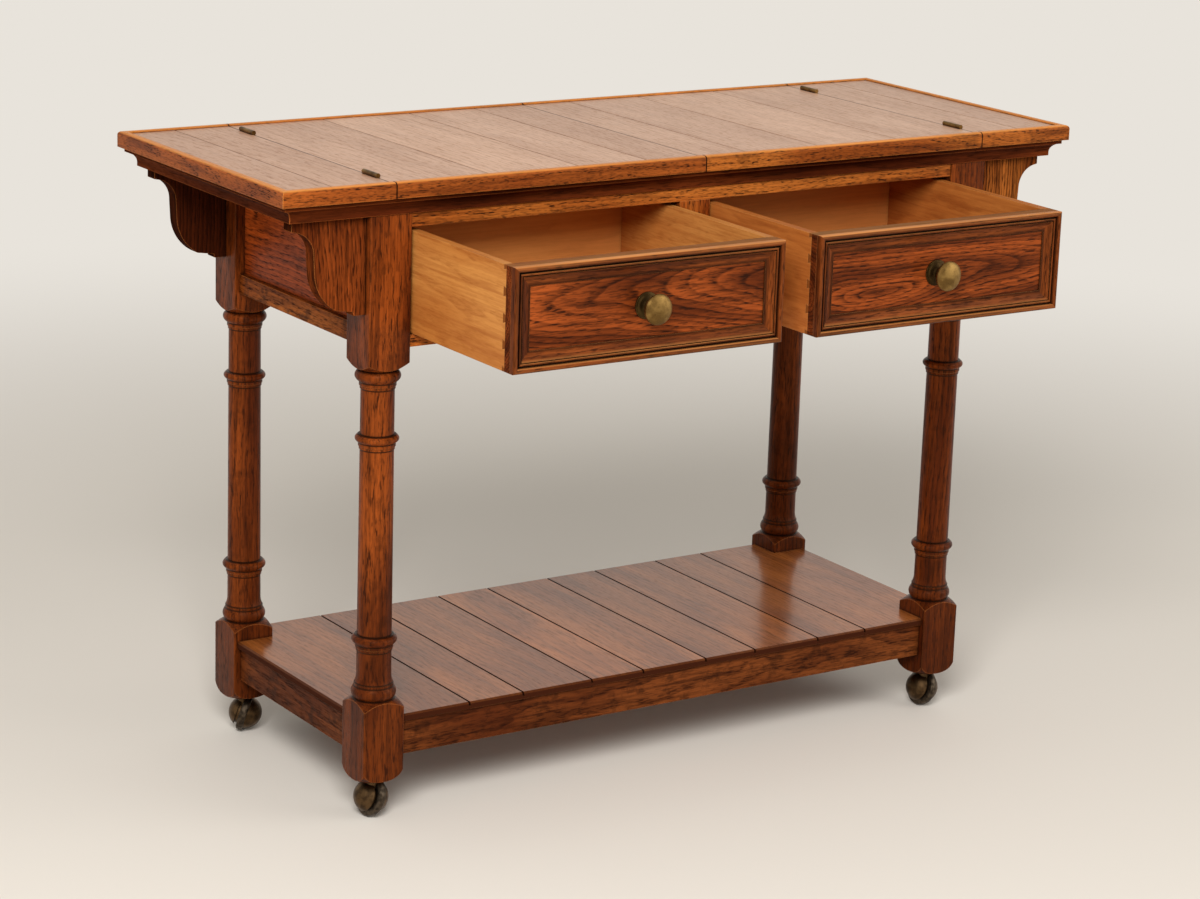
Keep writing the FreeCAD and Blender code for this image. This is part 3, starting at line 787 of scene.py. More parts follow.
class Workbench:
    """Modelling steps that every turned or sawn piece goes through."""

    @staticmethod
    def clear() -> None:
        """Deselect everything, in object mode."""
        if bpy.context.object and bpy.context.object.mode != "OBJECT":
            bpy.ops.object.mode_set(mode="OBJECT")
        bpy.ops.object.select_all(action="DESELECT")

    @classmethod
    def only(cls, piece: Piece) -> None:
        """Make one piece the selected and active one.

        Args:
            piece: The piece.
        """
        cls.clear()
        piece.select_set(True)
        bpy.context.view_layer.objects.active = piece

    @classmethod
    def edit(cls, piece: Piece, pick: Pick, test: Callable[[Any], bool]) -> None:
        """Enter edit mode with parts of a piece selected.

        Args:
            piece: The piece.
            pick: Kind of the parts.
            test: Says which of them are selected.
        """
        cls.only(piece)
        bpy.ops.object.mode_set(mode="EDIT")
        bpy.ops.mesh.select_mode(type=pick.value)
        bpy.ops.mesh.select_all(action="DESELECT")
        bpy.ops.object.mode_set(mode="OBJECT")
        for part in piece.data.vertices if pick is Pick.POINTS else piece.data.edges:
            part.select = test(part)
        bpy.ops.object.mode_set(mode="EDIT")

    @classmethod
    def turn(cls, name: str, rings: Sequence[Ring], sides: int = 56) -> Piece:
        """Turn a solid about the upright line through the origin.

        Args:
            name: Name of the piece.
            rings: Its outline as (height, radius), low to high.
            sides: How many sides the turning has.

        Returns:
            The closed piece.
        """
        cls.clear()
        height, radius = rings[0]
        bpy.ops.mesh.primitive_circle_add(vertices=sides, radius=radius, fill_type="NOTHING",
                                          location=(0.0, 0.0, 0.0))
        piece = bpy.context.object
        piece.name = name
        bpy.ops.object.mode_set(mode="EDIT")
        bpy.ops.mesh.select_all(action="SELECT")
        bpy.ops.transform.translate(value=(0.0, 0.0, height))
        for next_height, next_radius in rings[1:]:
            rise = {"value": (0.0, 0.0, next_height - height)}
            bpy.ops.mesh.extrude_region_move(TRANSFORM_OT_translate=rise)
            scale = next_radius / radius
            bpy.ops.transform.resize(value=(scale, scale, 1.0), center_override=(0.0, 0.0, next_height))
            height, radius = next_height, next_radius
        bpy.ops.mesh.edge_face_add()
        foot = rings[0][0]
        cls.edit(piece, Pick.POINTS, lambda point: abs(point.co.z - foot) < TOUCH)
        bpy.ops.mesh.edge_face_add()
        bpy.ops.mesh.select_all(action="SELECT")
        bpy.ops.mesh.remove_doubles(threshold=TOUCH)
        bpy.ops.mesh.normals_make_consistent(inside=False)
        bpy.ops.object.mode_set(mode="OBJECT")
        return piece

    @classmethod
    def post(cls, name: str, half: float, low: float, high: float, rounding: float) -> Piece:
        """Square post with softened upright edges.

        Args:
            name: Name of the piece.
            half: Half its width.
            low: Height of its foot.
            high: Height of its head.
            rounding: Radius of its upright edges.

        Returns:
            The piece.
        """
        cls.clear()
        bpy.ops.mesh.primitive_cube_add(size=2.0, location=(0.0, 0.0, (low + high) / 2),
                                        scale=(half, half, (high - low) / 2))
        piece = bpy.context.object
        piece.name = name
        bpy.ops.object.transform_apply(location=True, rotation=True, scale=True)

        def upright(edge: bpy.types.MeshEdge) -> bool:
            """True if an edge stands on end."""
            start, end = (piece.data.vertices[k].co for k in edge.vertices)
            return abs(start.z - end.z) > half

        cls.edit(piece, Pick.EDGES, upright)
        bpy.ops.mesh.bevel(offset=rounding, segments=3, affect="EDGES")
        bpy.ops.object.mode_set(mode="OBJECT")
        return piece

    @classmethod
    def combine(cls, piece: Piece, meeting: Meeting, tool: Piece) -> None:
        """Cut or trim a piece with another one, which is used up.

        Args:
            piece: The piece that stays.
            meeting: What happens to it.
            tool: The other piece.
        """
        cls.only(piece)
        change = piece.modifiers.new("combine", "BOOLEAN")
        change.operation = meeting.value
        change.solver = "EXACT"
        change.object = tool
        bpy.ops.object.modifier_apply(modifier=change.name)
        cls.discard(tool)

    @classmethod
    def join(cls, piece: Piece, other: Piece) -> None:
        """Make two pieces one.

        Args:
            piece: The piece that keeps its name.
            other: The other one.
        """
        cls.only(piece)
        other.select_set(True)
        bpy.ops.object.join()

    @classmethod
    def settle(cls, piece: Piece, place: Matrix) -> None:
        """Put a piece in its place, with that place in its mesh.

        Args:
            piece: The piece.
            place: The place.
        """
        cls.only(piece)
        piece.matrix_world = place
        bpy.ops.object.transform_apply(location=True, rotation=True, scale=True)

    @classmethod
    def smooth(cls, piece: Piece, degrees: float = 32.0) -> None:
        """Shade a piece smooth, apart from its real edges."""
        cls.only(piece)
        bpy.ops.object.shade_smooth_by_angle(angle=math.radians(degrees))

    @classmethod
    def copy(cls, pattern: Piece, name: str, place: Matrix) -> Piece:
        """Copy a pattern to a place, with a mesh of its own.

        Args:
            pattern: The pattern.
            name: Name of the new piece.
            place: Where it goes.

        Returns:
            The new piece.
        """
        twin = pattern.copy()
        twin.data = pattern.data.copy()
        twin.name = name
        bpy.context.collection.objects.link(twin)
        cls.settle(twin, place)
        return twin

    @staticmethod
    def discard(*pieces: Piece) -> None:
        """Take away pieces that were only needed to make others."""
        for piece in pieces:
            bpy.data.objects.remove(piece, do_unlink=True)


def arc(start: Ring, middle: Ring, end: Ring, steps: int) -> list[Ring]:
    """Rings along a parabola through three of them, without the first.

    Args:
        start: First ring.
        middle: Ring half way.
        end: Last ring.
        steps: How many rings are wanted.

    Returns:
        The rings.
    """
    rings = []
    for k in range(1, steps + 1):
        t = k / steps
        weights = ((1 - t) * (1 - 2 * t), 4 * t * (1 - t), t * (2 * t - 1))
        corners = tuple(zip(weights, (start, middle, end)))
        rings.append(tuple(sum(weight * ring[k] for weight, ring in corners) for k in (0, 1)))
    return rings


def dress(material: Material, *nodes: str) -> None:
    """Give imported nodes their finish.

    Args:
        material: The material.
        nodes: Names of the nodes.
    """
    for node in nodes:
        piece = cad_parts[node]
        if not piece.material_slots:
            piece.data.materials.append(material)
        for slot in piece.material_slots:
            slot.material = material
        log.info("%s keeps its packed mesh and is finished in %s", node, material.name)


def stand_in(piece: Piece, body: str, slot: str, material: Material, *nodes: str) -> None:
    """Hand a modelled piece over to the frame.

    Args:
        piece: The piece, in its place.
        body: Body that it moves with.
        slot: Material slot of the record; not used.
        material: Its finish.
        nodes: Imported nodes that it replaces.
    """
    piece.data.materials.clear()
    piece.data.materials.append(material)
    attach(piece, body)
    if nodes:
        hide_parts(*nodes)
    log.info("%s is modelled with %d faces and rides on %s", piece.name, len(piece.data.polygons), body)


CORNERS = ("front_left", "front_right", "back_left", "back_right")
SIDES = ("left", "right")
TOUCH = 1e-7
FINE = Grain(pore_length=0.009, pore_width=0.0014)
PLAIN_WOOD = Oak("plain_wood", stain(178, 138, 92), stain(160, 118, 74), stain(128, 88, 50),
                 ring_strength=0.4, pore_strength=0.3, wear=0.1, grime_and_shade_strength=0.3, roughness=0.6)


@dataclass
class FoldingTop:
    """Fixed ends, leaves, their rims and hinges, and the sub-top with its serving surface."""

    leaf_width: float = 0.470
    end_joint: float = 0.5508
    left_joints: tuple[float, ...] = (0.174, 0.400, 0.691)
    right_joints: tuple[float, ...] = (0.166, 0.421, 0.709)
    board_heart: float = -0.09
    rim_heart: Pair = (-0.10, -0.06)
    end_rim_heart: float = 0.9
    sub_top_cut: Cut = Cut(Axis.LENGTH, Axis.HEIGHT, (0.12, 0.75), lean=0.02)
    boards: Oak = Oak("oak_top", stain(212, 168, 137), stain(194, 149, 117), stain(134, 88, 62),
                      worn=stain(190, 130, 90), ring_strength=0.24, pore_strength=0.22,
                      fibre_strength=0.18, streak_strength=0.2, soot=0.05, wear=0.2,
                      roughness=0.38, relief=0.05, gloss=0.7, sheen=WHITE)
    rims: Oak = Oak("oak_rim", stain(166, 87, 33), stain(124, 56, 19), stain(56, 19, 6),
                    worn=stain(226, 146, 70), grain=FINE, ring_strength=0.35,
                    pore_strength=0.95, streak_strength=0.4, soot=0.2, wear=1.0, lit_and_worn_tops=0.9)
    # Painted light: a lighter, more golden copy of the rims' finish for the right-hand leaf and end, where
    # more light falls.
    rims_painted_light: Oak = replace(rims, name="oak_rim_painted_light", pale=stain(194, 112, 44),
                               body=stain(146, 72, 24), dark=stain(62, 22, 6), soot=0.35)
    brass: Metal = Metal("brass", stain(132, 100, 54), stain(84, 60, 30), stain(26, 17, 8))
    plain: Oak = PLAIN_WOOD
    laminate: Laminate = Laminate("laminate", stain(58, 40, 30), stain(84, 60, 44))

    def finish(self) -> None:
        """Dress the top's nodes."""
        half = self.leaf_width
        joints = [-self.end_joint, -half, *(-half * share for share in reversed(self.left_joints)), 0.0,
                  *(half * share for share in self.right_joints), half, self.end_joint]
        heart = 0.0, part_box("end_board_left")[0].z + self.board_heart
        top = self.boards.material(Cut(Axis.DEPTH, Axis.HEIGHT, heart, lean=0.05), joints)
        end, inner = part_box("end_rim_left")
        front, back = end.y, inner.y
        across, rise = self.rim_heart
        run = Cut(Axis.LENGTH, Axis.HEIGHT, (front + across, end.z + rise), lean=0.01)
        mitres = MitredFrame(Cut(Axis.DEPTH, Axis.HEIGHT, (self.end_rim_heart, end.z + rise), lean=0.01),
                             (0.0, (front + back) / 2), (-end.x, (back - front) / 2),
                             (Axis.LENGTH, Axis.DEPTH))
        brass = self.brass.material()
        for name, oak in zip(SIDES, (self.rims, self.rims_painted_light)):
            rim = oak.material(run, other=mitres, seams=(-half, 0.0, half))
            dress(top, "leaf_board_" + name, "end_board_" + name)
            dress(rim, "leaf_rim_" + name, "end_rim_" + name)
            dress(brass, "hinge_fixed_" + name, "hinge_leaf_" + name)
        dress(self.plain.material(self.sub_top_cut), "sub_top")
        dress(self.laminate.material(), "serving_surface")


@dataclass
class MouldedFrame:
    """Cornice under the edge of the top."""

    oak: Oak = Oak("oak_cornice", stain(108, 48, 17), stain(76, 29, 9), stain(36, 11, 3),
                   worn=stain(190, 104, 48), ring_strength=0.4, pore_strength=0.6, wear=0.8,
                   grime_and_shade_reach=0.016, grime_and_shade_strength=1.0, roughness=0.75, gloss=0.05)
    long_cut: Cut = Cut(Axis.LENGTH, Axis.HEIGHT, (-0.2, 0.76), lean=0.01)
    short_cut: Cut = Cut(Axis.DEPTH, Axis.HEIGHT, (0.8, 0.76), lean=0.01)

    def finish(self) -> None:
        """Dress the four mouldings, each with grain along its run."""
        dress(self.oak.material(self.long_cut), "cornice_front", "cornice_back")
        dress(self.oak.material(self.short_cut), "cornice_left", "cornice_right")


@dataclass
class TurnedLegs:
    """Legs with turned columns, and the brackets on their outer faces."""

    half_post: float = 0.030
    foot: float = 0.056
    foot_radius: float = 0.024
    foot_edge: float = 0.075
    low_block_top: float = 0.157
    low_shoulder: float = 0.1685
    high_shoulder: float = 0.6125
    high_block: float = 0.624
    shoulder_radius: float = 0.027
    low_shaft: float = 0.0232
    high_shaft: float = 0.0220
    collar_step: float = 0.0011
    collar_high: float = 0.0050
    collar_low: float = 0.0040
    fillet_radius: float = 0.0262
    fillet_height: float = 0.0045
    cove_radius: float = 0.0256
    cove_height: float = 0.011
    socket_radius: float = 0.00556
    socket_depth: float = 0.0395
    spare: float = 0.002
    rounding: float = 0.0014
    ease: float = 0.0005
    bead_steps: int = 12
    foot_steps: int = 8
    shoulder_steps: int = 6
    bore_sides: int = 24
    foot_middle: Pair = (0.32, 0.66)
    shoulder_middle: Pair = (0.60, 0.64)
    foot_bead: tuple[float, float, float] = (0.0191, 0.498, 0.0191)
    low_bead: tuple[float, float, float] = (0.1820, 0.500, 0.0149)
    high_bead: tuple[float, float, float] = (0.7932, 0.480, 0.0126)
    neck_bead: tuple[float, float, float] = (0.9808, 0.500, 0.0190)
    oak: Oak = Oak("oak_leg", stain(144, 68, 23), stain(84, 33, 10), stain(36, 11, 4),
                   ring_strength=0.45, pore_strength=0.85, low_shade=0.5, soot=0.3, wear=0.4,
                   grime_and_shade_reach=0.008, grime_and_shade_span=(0.14, 0.60), grime_and_shade_strength=0.8, roughness=0.28)
    bracket_oak: Oak = Oak("oak_bracket", stain(138, 64, 23), stain(78, 30, 9), stain(30, 10, 3),
                           grain=Grain(ring_width=0.0055, wander=0.014, ripple=2.2), ring_strength=0.6,
                           pore_strength=0.85, side_shade=0.25, wear=0.6, roughness=0.75, gloss=0.04)
    golden_bracket: Oak = replace(bracket_oak, name="oak_bracket_golden", pale=stain(170, 96, 38),
                                  body=stain(112, 52, 17), dark=stain(26, 9, 3), ring_strength=0.95)
    # Painted shade: a darker copy of the bracket finish for the back brackets, which lie in shade behind
    # the legs and under the top.
    shaded_oak: Oak = Oak("oak_bracket_back_painted_shade", stain(72, 29, 11), stain(50, 18, 6), stain(22, 7, 3),
                          grain=Grain(ring_width=0.0055, wander=0.012), ring_strength=0.8,
                          pore_strength=0.85, side_shade=0.2, wear=0.6, roughness=0.75, gloss=0.04)
    bracket_seams: Pair = (-0.495, 0.495)
    bracket_heart: Pair = (0.09, 0.03)
    heart: Pair = (0.07, 0.05)
    middle: float = 0.12

    def shaft(self, height: float) -> float:
        """Radius of the tapering shaft at a height."""
        share = (height - self.low_shoulder) / (self.high_shoulder - self.low_shoulder)
        return self.low_shaft + (self.high_shaft - self.low_shaft) * share

    def reach(self, shares: tuple[float, float, float]) -> Pair:
        """Heights of a bead's two ends.

        Args:
            shares: The bead's middle, radius and rise.

        Returns:
            Its lower and its upper end.
        """
        span = self.high_shoulder - self.low_shoulder
        middle, rise = self.low_shoulder + span * shares[0], span * shares[2]
        return middle - rise, middle + rise

    def bead(self, shares: tuple[float, float, float], with_collar: bool) -> list[Ring]:
        """Rings of one bead, and of the collar below it.

        Args:
            shares: Its middle and rise as shares of the column, and radius as a share of the post.
            with_collar: True if a collar lies below it.

        Returns:
            The rings, low to high.
        """
        low, high = self.reach(shares)
        rings, root = [], self.fillet_radius
        if with_collar:
            ease, step = self.ease, low - self.collar_high
            base = step - self.collar_low
            shaft = self.shaft(base)
            narrow, root = shaft + self.collar_step, shaft + 2 * self.collar_step
            rings = [(base, shaft), (base, narrow - ease), (base + ease, narrow), (step, narrow),
                     (step, root - ease), (step + ease, root)]
        crest = (low + high) / 2, 2 * self.half_post * shares[1]
        return [*rings, (low, root), *arc((low, root), crest, (high, root), self.bead_steps)]

    def rings(self) -> list[Ring]:
        """Turned outline of a leg.

        Returns:
            Its rings, from foot to head.
        """
        corner = self.half_post * math.sqrt(2) + self.ease
        reach = corner - self.foot_radius
        rise, spread = self.foot_middle
        middle = self.foot + (self.foot_edge - self.foot) * rise, self.foot_radius + reach * spread
        rings = [(self.foot, self.foot_radius)]
        rings += arc(rings[0], middle, (self.foot_edge, corner), self.foot_steps)
        low_end, low_edge = (self.low_shoulder, self.shoulder_radius), (self.low_block_top, corner)
        high_end, high_edge = (self.high_shoulder, self.shoulder_radius), (self.high_block, corner)
        steps = self.shoulder_steps
        rings += [low_edge] + arc(low_edge, self.shoulder(low_end, low_edge), low_end, steps)
        rings += self.bead(self.foot_bead, False)
        cove = rings[-1][0] + self.fillet_height
        rings += [(cove - self.ease, self.fillet_radius), (cove, self.fillet_radius - self.ease)]
        start, end = (cove, self.cove_radius), (cove + self.cove_height, self.low_shaft)
        hollow = ((start[0] + end[0]) / 2, (start[1] + end[1] * 3) / 4)
        rings += [start] + arc(start, hollow, end, steps)
        for shares in (self.low_bead, self.high_bead):
            rings += self.bead(shares, True)
            rings.append((rings[-1][0], self.shaft(rings[-1][0])))
        rings += self.bead(self.neck_bead, True)
        rings += [high_end] + arc(high_end, self.shoulder(high_end, high_edge), high_edge, steps)
        return rings

    def creases(self) -> list[float]:
        """Heights of the creases that are painted dark, with shade and grime.

        Returns:
            The ends of each bead, the feet of the collars, and the top of the fillet.
        """
        beads = (self.foot_bead, self.low_bead, self.high_bead, self.neck_bead)
        heights = [height for shares in beads for height in self.reach(shares)]
        collars = [low - self.collar_high - self.collar_low for low in heights[2::2]]
        return heights + collars + [heights[1] + self.fillet_height]

    def shoulder(self, end: Ring, edge: Ring) -> Ring:
        """Middle of the shoulder between a column's end and its block."""
        rise, spread = self.shoulder_middle
        return end[0] + (edge[0] - end[0]) * rise, end[1] + (edge[1] - end[1]) * spread

    def build(self) -> None:
        """Model the leg once, copy it to the four corners, and dress the brackets."""
        low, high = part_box("leg_front_left")
        rings = self.rings()
        rings.append((high.z, rings[-1][1]))
        leg = Workbench.post("leg_pattern", self.half_post, low.z, high.z, self.rounding)
        Workbench.combine(leg, Meeting.KEEP, Workbench.turn("column", rings))
        bore = [(low.z - self.spare, self.socket_radius), (low.z + self.socket_depth, self.socket_radius)]
        Workbench.combine(leg, Meeting.CUT, Workbench.turn("bore", bore, self.bore_sides))
        Workbench.smooth(leg)
        stains = {"front_left": self.bracket_oak, "front_right": self.golden_bracket}
        for name in CORNERS:
            low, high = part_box("leg_" + name)
            centre = (low + high) / 2
            piece = Workbench.copy(leg, "turned_leg_" + name, Matrix.Translation((centre.x, centre.y, 0.0)))
            heart = (centre.x - math.copysign(self.heart[0], centre.x),
                     centre.y - math.copysign(self.heart[1], centre.y - self.middle))
            oak = self.oak.material(Cut(Axis.HEIGHT, Axis.DEPTH, heart, lean=0.02), creases=self.creases())
            stand_in(piece, "cabinet", "oak_leg", oak, "leg_" + name)
            low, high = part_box("bracket_" + name)
            heart = (low.x + high.x) / 2 + self.bracket_heart[0], high.y + self.bracket_heart[1]
            oak = stains.get(name, self.shaded_oak)
            oak = oak.material(Cut(Axis.HEIGHT, Axis.DEPTH, heart, lean=0.03), seams=self.bracket_seams)
            dress(oak, "bracket_" + name)
        Workbench.discard(leg)


@dataclass
class Carcase:
    """Rails, panels and stile between the legs, with the drawers' runners and kickers."""

    frame_oak: Oak = Oak("oak_frame", stain(190, 108, 42), stain(138, 62, 18), stain(60, 19, 5),
                         grain=FINE, ring_strength=0.45, pore_strength=0.95,
                         streak_strength=0.6, wear=0.8)
    end_oak: Oak = Oak("oak_end_rail", stain(166, 92, 36), stain(122, 56, 17), stain(52, 17, 5),
                       ring_strength=0.5, pore_strength=0.9, soot=0.6, wear=0.6, gloss=0.04)
    panel_oak: Oak = Oak("oak_panel", stain(196, 88, 32), stain(154, 64, 21), stain(76, 25, 7),
                         ring_strength=0.75, pore_strength=0.85, soot=0.25, wear=0.5)
    plain: Oak = PLAIN_WOOD
    plain_cut: Cut = Cut(Axis.DEPTH, Axis.LENGTH, (0.7, 0.1), lean=0.02)
    rail_heart: Pair = (0.62, 0.11)
    stile_heart: Pair = (0.08, 0.04)
    back_heart: Pair = (0.74, -0.02)
    panel_heart: Pair = (0.76, 0.03)
    end_heart: Pair = (0.60, 0.07)

    def finish(self) -> None:
        """Dress the carcase's nodes, each with grain along its run."""
        heart = self.rail_heart[0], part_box("rail_front_top")[0].y + self.rail_heart[1]
        dress(self.frame_oak.material(Cut(Axis.LENGTH, Axis.DEPTH, heart, lean=0.01)),
              "rail_front_top", "rail_front_bottom", "rail_back")
        heart = self.stile_heart[0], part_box("stile_front")[1].y + self.stile_heart[1]
        dress(self.frame_oak.material(Cut(Axis.HEIGHT, Axis.DEPTH, heart, lean=0.02)), "stile_front")
        heart = self.back_heart[0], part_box("panel_back")[0].y + self.back_heart[1]
        dress(self.panel_oak.material(Cut(Axis.LENGTH, Axis.DEPTH, heart, lean=0.05)), "panel_back")
        for name, side in zip(SIDES, (1, -1)):
            low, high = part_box("panel_" + name)
            middle = (low.x + high.x) / 2
            heart = self.panel_heart[0], middle + side * self.panel_heart[1]
            dress(self.panel_oak.material(Cut(Axis.DEPTH, Axis.LENGTH, heart, lean=0.09)), "panel_" + name)
            heart = self.end_heart[0], middle + side * self.end_heart[1]
            dress(self.end_oak.material(Cut(Axis.DEPTH, Axis.LENGTH, heart, lean=0.03)), "rail_" + name)
        dress(self.plain.material(self.plain_cut), "drawer_runners", "drawer_kickers")


@dataclass
class Drawers:
    """Drawers with moulded fronts, light wood boxes and mushroom knobs."""

    tail_length: float = 0.0055
    tail_gap: float = 0.0002
    side_thickness: float = 0.0120
    side_ease: float = 0.0005
    side_gap: float = 0.0001
    back_reach: float = 0.0185
    front_hearts: Pair = (0.020, -0.006)
    front_depth: float = 0.016
    moulding_depth: float = 0.09
    box_heart: float = -0.05
    back_heart: Pair = (-0.04, 0.07)
    bottom_heart: Pair = (-0.05, -0.08)
    # Painted shade on each knob's brass near the drawer face, full from 1 cm out, under its cap.
    shaded: Pair = (-0.020, -0.010)
    pin_colour: Colour = stain(160, 92, 40)
    pin_cover: float = 0.75
    # Painted light: the back board inside each drawer is made lighter, for light that falls into the
    # drawer.
    back_painted_light: Colour = stain(250, 172, 96)
    back_light_cover: float = 0.35
    moulding_width: float = 0.026
    # Painted highlights with wear along the moulding's crests, and painted shade with grime in its quirks
    # and beside the panel, from the outer edge at 0 to the inner edge at 1.
    highlight_and_wear_stops: Stops = ((0.0, 0.0), (0.10, 0.35), (0.16, 0.15), (0.24, 0.0), (0.38, 0.05), (0.40, 0.3),
                     (0.43, 0.05), (0.60, 0.0))
    shade_and_dirt_stops: Stops = ((0.22, 0.0), (0.27, 0.75), (0.34, 0.7), (0.36, 0.0), (0.44, 0.05), (0.46, 0.7),
                    (0.50, 0.5), (0.54, 0.0), (0.84, 0.0), (0.94, 0.6), (1.0, 0.8))
    knob_projection: float = 0.034
    knob_radius: float = 0.020
    knob_sides: int = 48
    knob_smooth: float = 50.0
    knob_outline: tuple[Ring, ...] = (
        (0.0, 0.855), (0.03, 0.875), (0.055, 0.86), (0.068, 0.80), (0.075, 0.73), (0.10, 0.70),
        (0.125, 0.61), (0.15, 0.47), (0.19, 0.38), (0.26, 0.335), (0.36, 0.33), (0.45, 0.37),
        (0.52, 0.45), (0.57, 0.57), (0.61, 0.73), (0.65, 0.86), (0.70, 0.955), (0.75, 0.995),
        (0.785, 1.0), (0.82, 0.985), (0.86, 0.925), (0.895, 0.84), (0.93, 0.72), (0.96, 0.55),
        (0.985, 0.34), (0.996, 0.18), (1.0, 0.05))
    front_oak: Oak = Oak("oak_drawer_front", stain(158, 74, 29), stain(90, 37, 12), stain(38, 12, 4),
                         worn=stain(176, 122, 74), lit_and_worn_tops=0.5,
                         grain=Grain(ring_width=0.0046, wander=0.018, ripple=1.0, broad=0.6),
                         ring_strength=0.8, pore_strength=0.95, side_shade=0.4, wear=0.4)
    moulding_oak: Oak = Oak("oak_moulding", stain(126, 62, 24), stain(80, 34, 12), stain(34, 11, 4),
                            worn=stain(214, 140, 76), ring_strength=0.35, pore_strength=0.85,
                            lit_and_worn_tops=0.85, wear=0.5, edge_radius=0.0006, grime_and_shade_strength=1.0)
    box_wood: Oak = Oak("drawer_wood", stain(198, 134, 68), stain(178, 110, 50), stain(148, 80, 32),
                        pore=stain(124, 64, 26), worn=stain(214, 160, 96),
                        grain=Grain(ring_width=0.012, wander=0.02), ring_strength=0.45,
                        pore_strength=0.25, fibre_strength=0.35, wear=0.35, grime_and_shade=stain(110, 60, 28),
                        grime_and_shade_strength=0.6, roughness=0.42, relief=0.04, alone=True)
    # Painted shade: a darker, redder copy of the box wood for the right drawer, which lies in the left
    # drawer's shadow.
    box_wood_in_shade: Oak = replace(box_wood, name="drawer_wood_red", pale=stain(188, 116, 54),
                            body=stain(164, 92, 38), dark=stain(132, 66, 25))
    # Painted shade: the knobs' brass darkens in its corners as far as 2 cm, where the cap shades the
    # rosette.
    brass: Metal = Metal("antique_brass", stain(150, 118, 66), stain(108, 81, 42), stain(24, 16, 8),
                         roughness=0.46, reach=0.02)

    def build(self) -> None:
        """Dress the drawers and turn their knobs."""
        rings = [(height * self.knob_projection, radius * self.knob_radius)
                 for height, radius in self.knob_outline]
        pattern = Workbench.turn("knob_pattern", rings, self.knob_sides)
        Workbench.smooth(pattern, self.knob_smooth)
        for name, wood, offset in zip(SIDES, (self.box_wood, self.box_wood_in_shade), self.front_hearts):
            low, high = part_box("drawer_front_" + name)
            middle, half = (low + high) / 2, (high - low) / 2
            cut = Cut(Axis.LENGTH, Axis.DEPTH, (middle.z + offset, low.y + self.front_depth), lean=0.11)
            pins = Lighter(high.y - self.tail_length - self.tail_gap, middle.x,
                           half.x - self.side_thickness - self.side_ease, self.pin_colour, self.pin_cover)
            dress(self.front_oak.material(cut, paler=pins), "drawer_front_" + name)
            depth = low.y + self.moulding_depth
            run = Cut(Axis.LENGTH, Axis.DEPTH, (middle.z, depth), lean=0.01)
            mitres = MitredFrame(Cut(Axis.HEIGHT, Axis.DEPTH, (middle.x, depth), lean=0.01),
                                 (middle.x, middle.z), (half.x, half.z), (Axis.LENGTH, Axis.HEIGHT),
                                 self.moulding_width, self.highlight_and_wear_stops, self.shade_and_dirt_stops)
            dress(self.moulding_oak.material(run, other=mitres), "drawer_moulding_" + name)
            start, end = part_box("drawer_box_" + name)
            cut = Cut(Axis.DEPTH, Axis.LENGTH, (middle.z + self.box_heart, middle.x), lean=0.04)
            rise, behind = self.back_heart
            back_cut = Cut(Axis.LENGTH, Axis.DEPTH, (middle.z + rise, end.y + behind), lean=0.04)
            # Painted light on the back board, which has its own grain across the drawer.
            back = Lighter(end.y - self.back_reach, middle.x,
                           (end.x - start.x) / 2 - self.side_thickness + self.side_gap,
                           self.back_painted_light, self.back_light_cover, back_cut)
            dress(wood.material(cut, other=back, paler=back), "drawer_box_" + name)
            heart = start.y + self.bottom_heart[0], start.z + self.bottom_heart[1]
            dress(wood.material(Cut(Axis.LENGTH, Axis.HEIGHT, heart, lean=0.03)), "drawer_bottom_" + name)
            low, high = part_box("drawer_knob_" + name)
            seat = Vector(((low.x + high.x) / 2, high.y, (low.z + high.z) / 2))
            place = Matrix.Translation(seat) @ Matrix.Rotation(math.radians(90), 4, "X")
            knob = Workbench.copy(pattern, "knob_" + name, place)
            brass = self.brass.material((seat.y + self.shaded[0], seat.y + self.shaded[1]))
            stand_in(knob, "drawer_" + name, "antique_brass", brass, "drawer_knob_" + name)
        Workbench.discard(pattern)


@dataclass
class LowerShelf:
    """Planked shelf and the rails under it."""

    half_length: float = 0.490
    joints: tuple[float, ...] = (0.107, 0.279, 0.504, 0.6755)
    board_heart: float = -0.08
    rail_heart: Pair = (0.01, 0.03)
    boards: Oak = Oak("oak_shelf", stain(178, 104, 45), stain(131, 69, 26), stain(54, 22, 9),
                      worn=stain(190, 110, 62), ring_strength=0.3, pore_strength=0.3,
                      fibre_strength=0.22, streak_strength=0.3, side_shade=1.0, wear=0.1,
                      edge_radius=0.0008, roughness=0.45, relief=0.04, gloss=0.12, wax=0.66)
    rail_oak: Oak = Oak("oak_shelf_rail", stain(122, 64, 28), stain(84, 38, 15), stain(38, 13, 5),
                        grain=Grain(ring_width=0.012, wander=0.03), ring_strength=0.65,
                        pore_strength=0.8, soot=0.5, wear=0.4, roughness=0.45, gloss=0.06)

    def finish(self) -> None:
        """Dress the shelf and its rails."""
        places = [self.half_length * share for share in self.joints]
        joints = [-place for place in reversed(places)] + places
        heart = 0.0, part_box("shelf_boards")[0].z + self.board_heart
        dress(self.boards.material(Cut(Axis.DEPTH, Axis.HEIGHT, heart, lean=0.05), joints), "shelf_boards")
        rise, inward = self.rail_heart
        runs = {"front": (Axis.LENGTH, Axis.DEPTH, inward, 0.05),
                "back": (Axis.LENGTH, Axis.DEPTH, -inward, 0.05),
                "left": (Axis.DEPTH, Axis.LENGTH, inward, 0.07),
                "right": (Axis.DEPTH, Axis.LENGTH, -inward, 0.07)}
        for name, (along, through, aside, lean) in runs.items():
            low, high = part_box("shelf_rail_" + name)
            heart = low.z + rise, (low[through.value] + high[through.value]) / 2 + aside
            dress(self.rail_oak.material(Cut(along, through, heart, lean)), "shelf_rail_" + name)


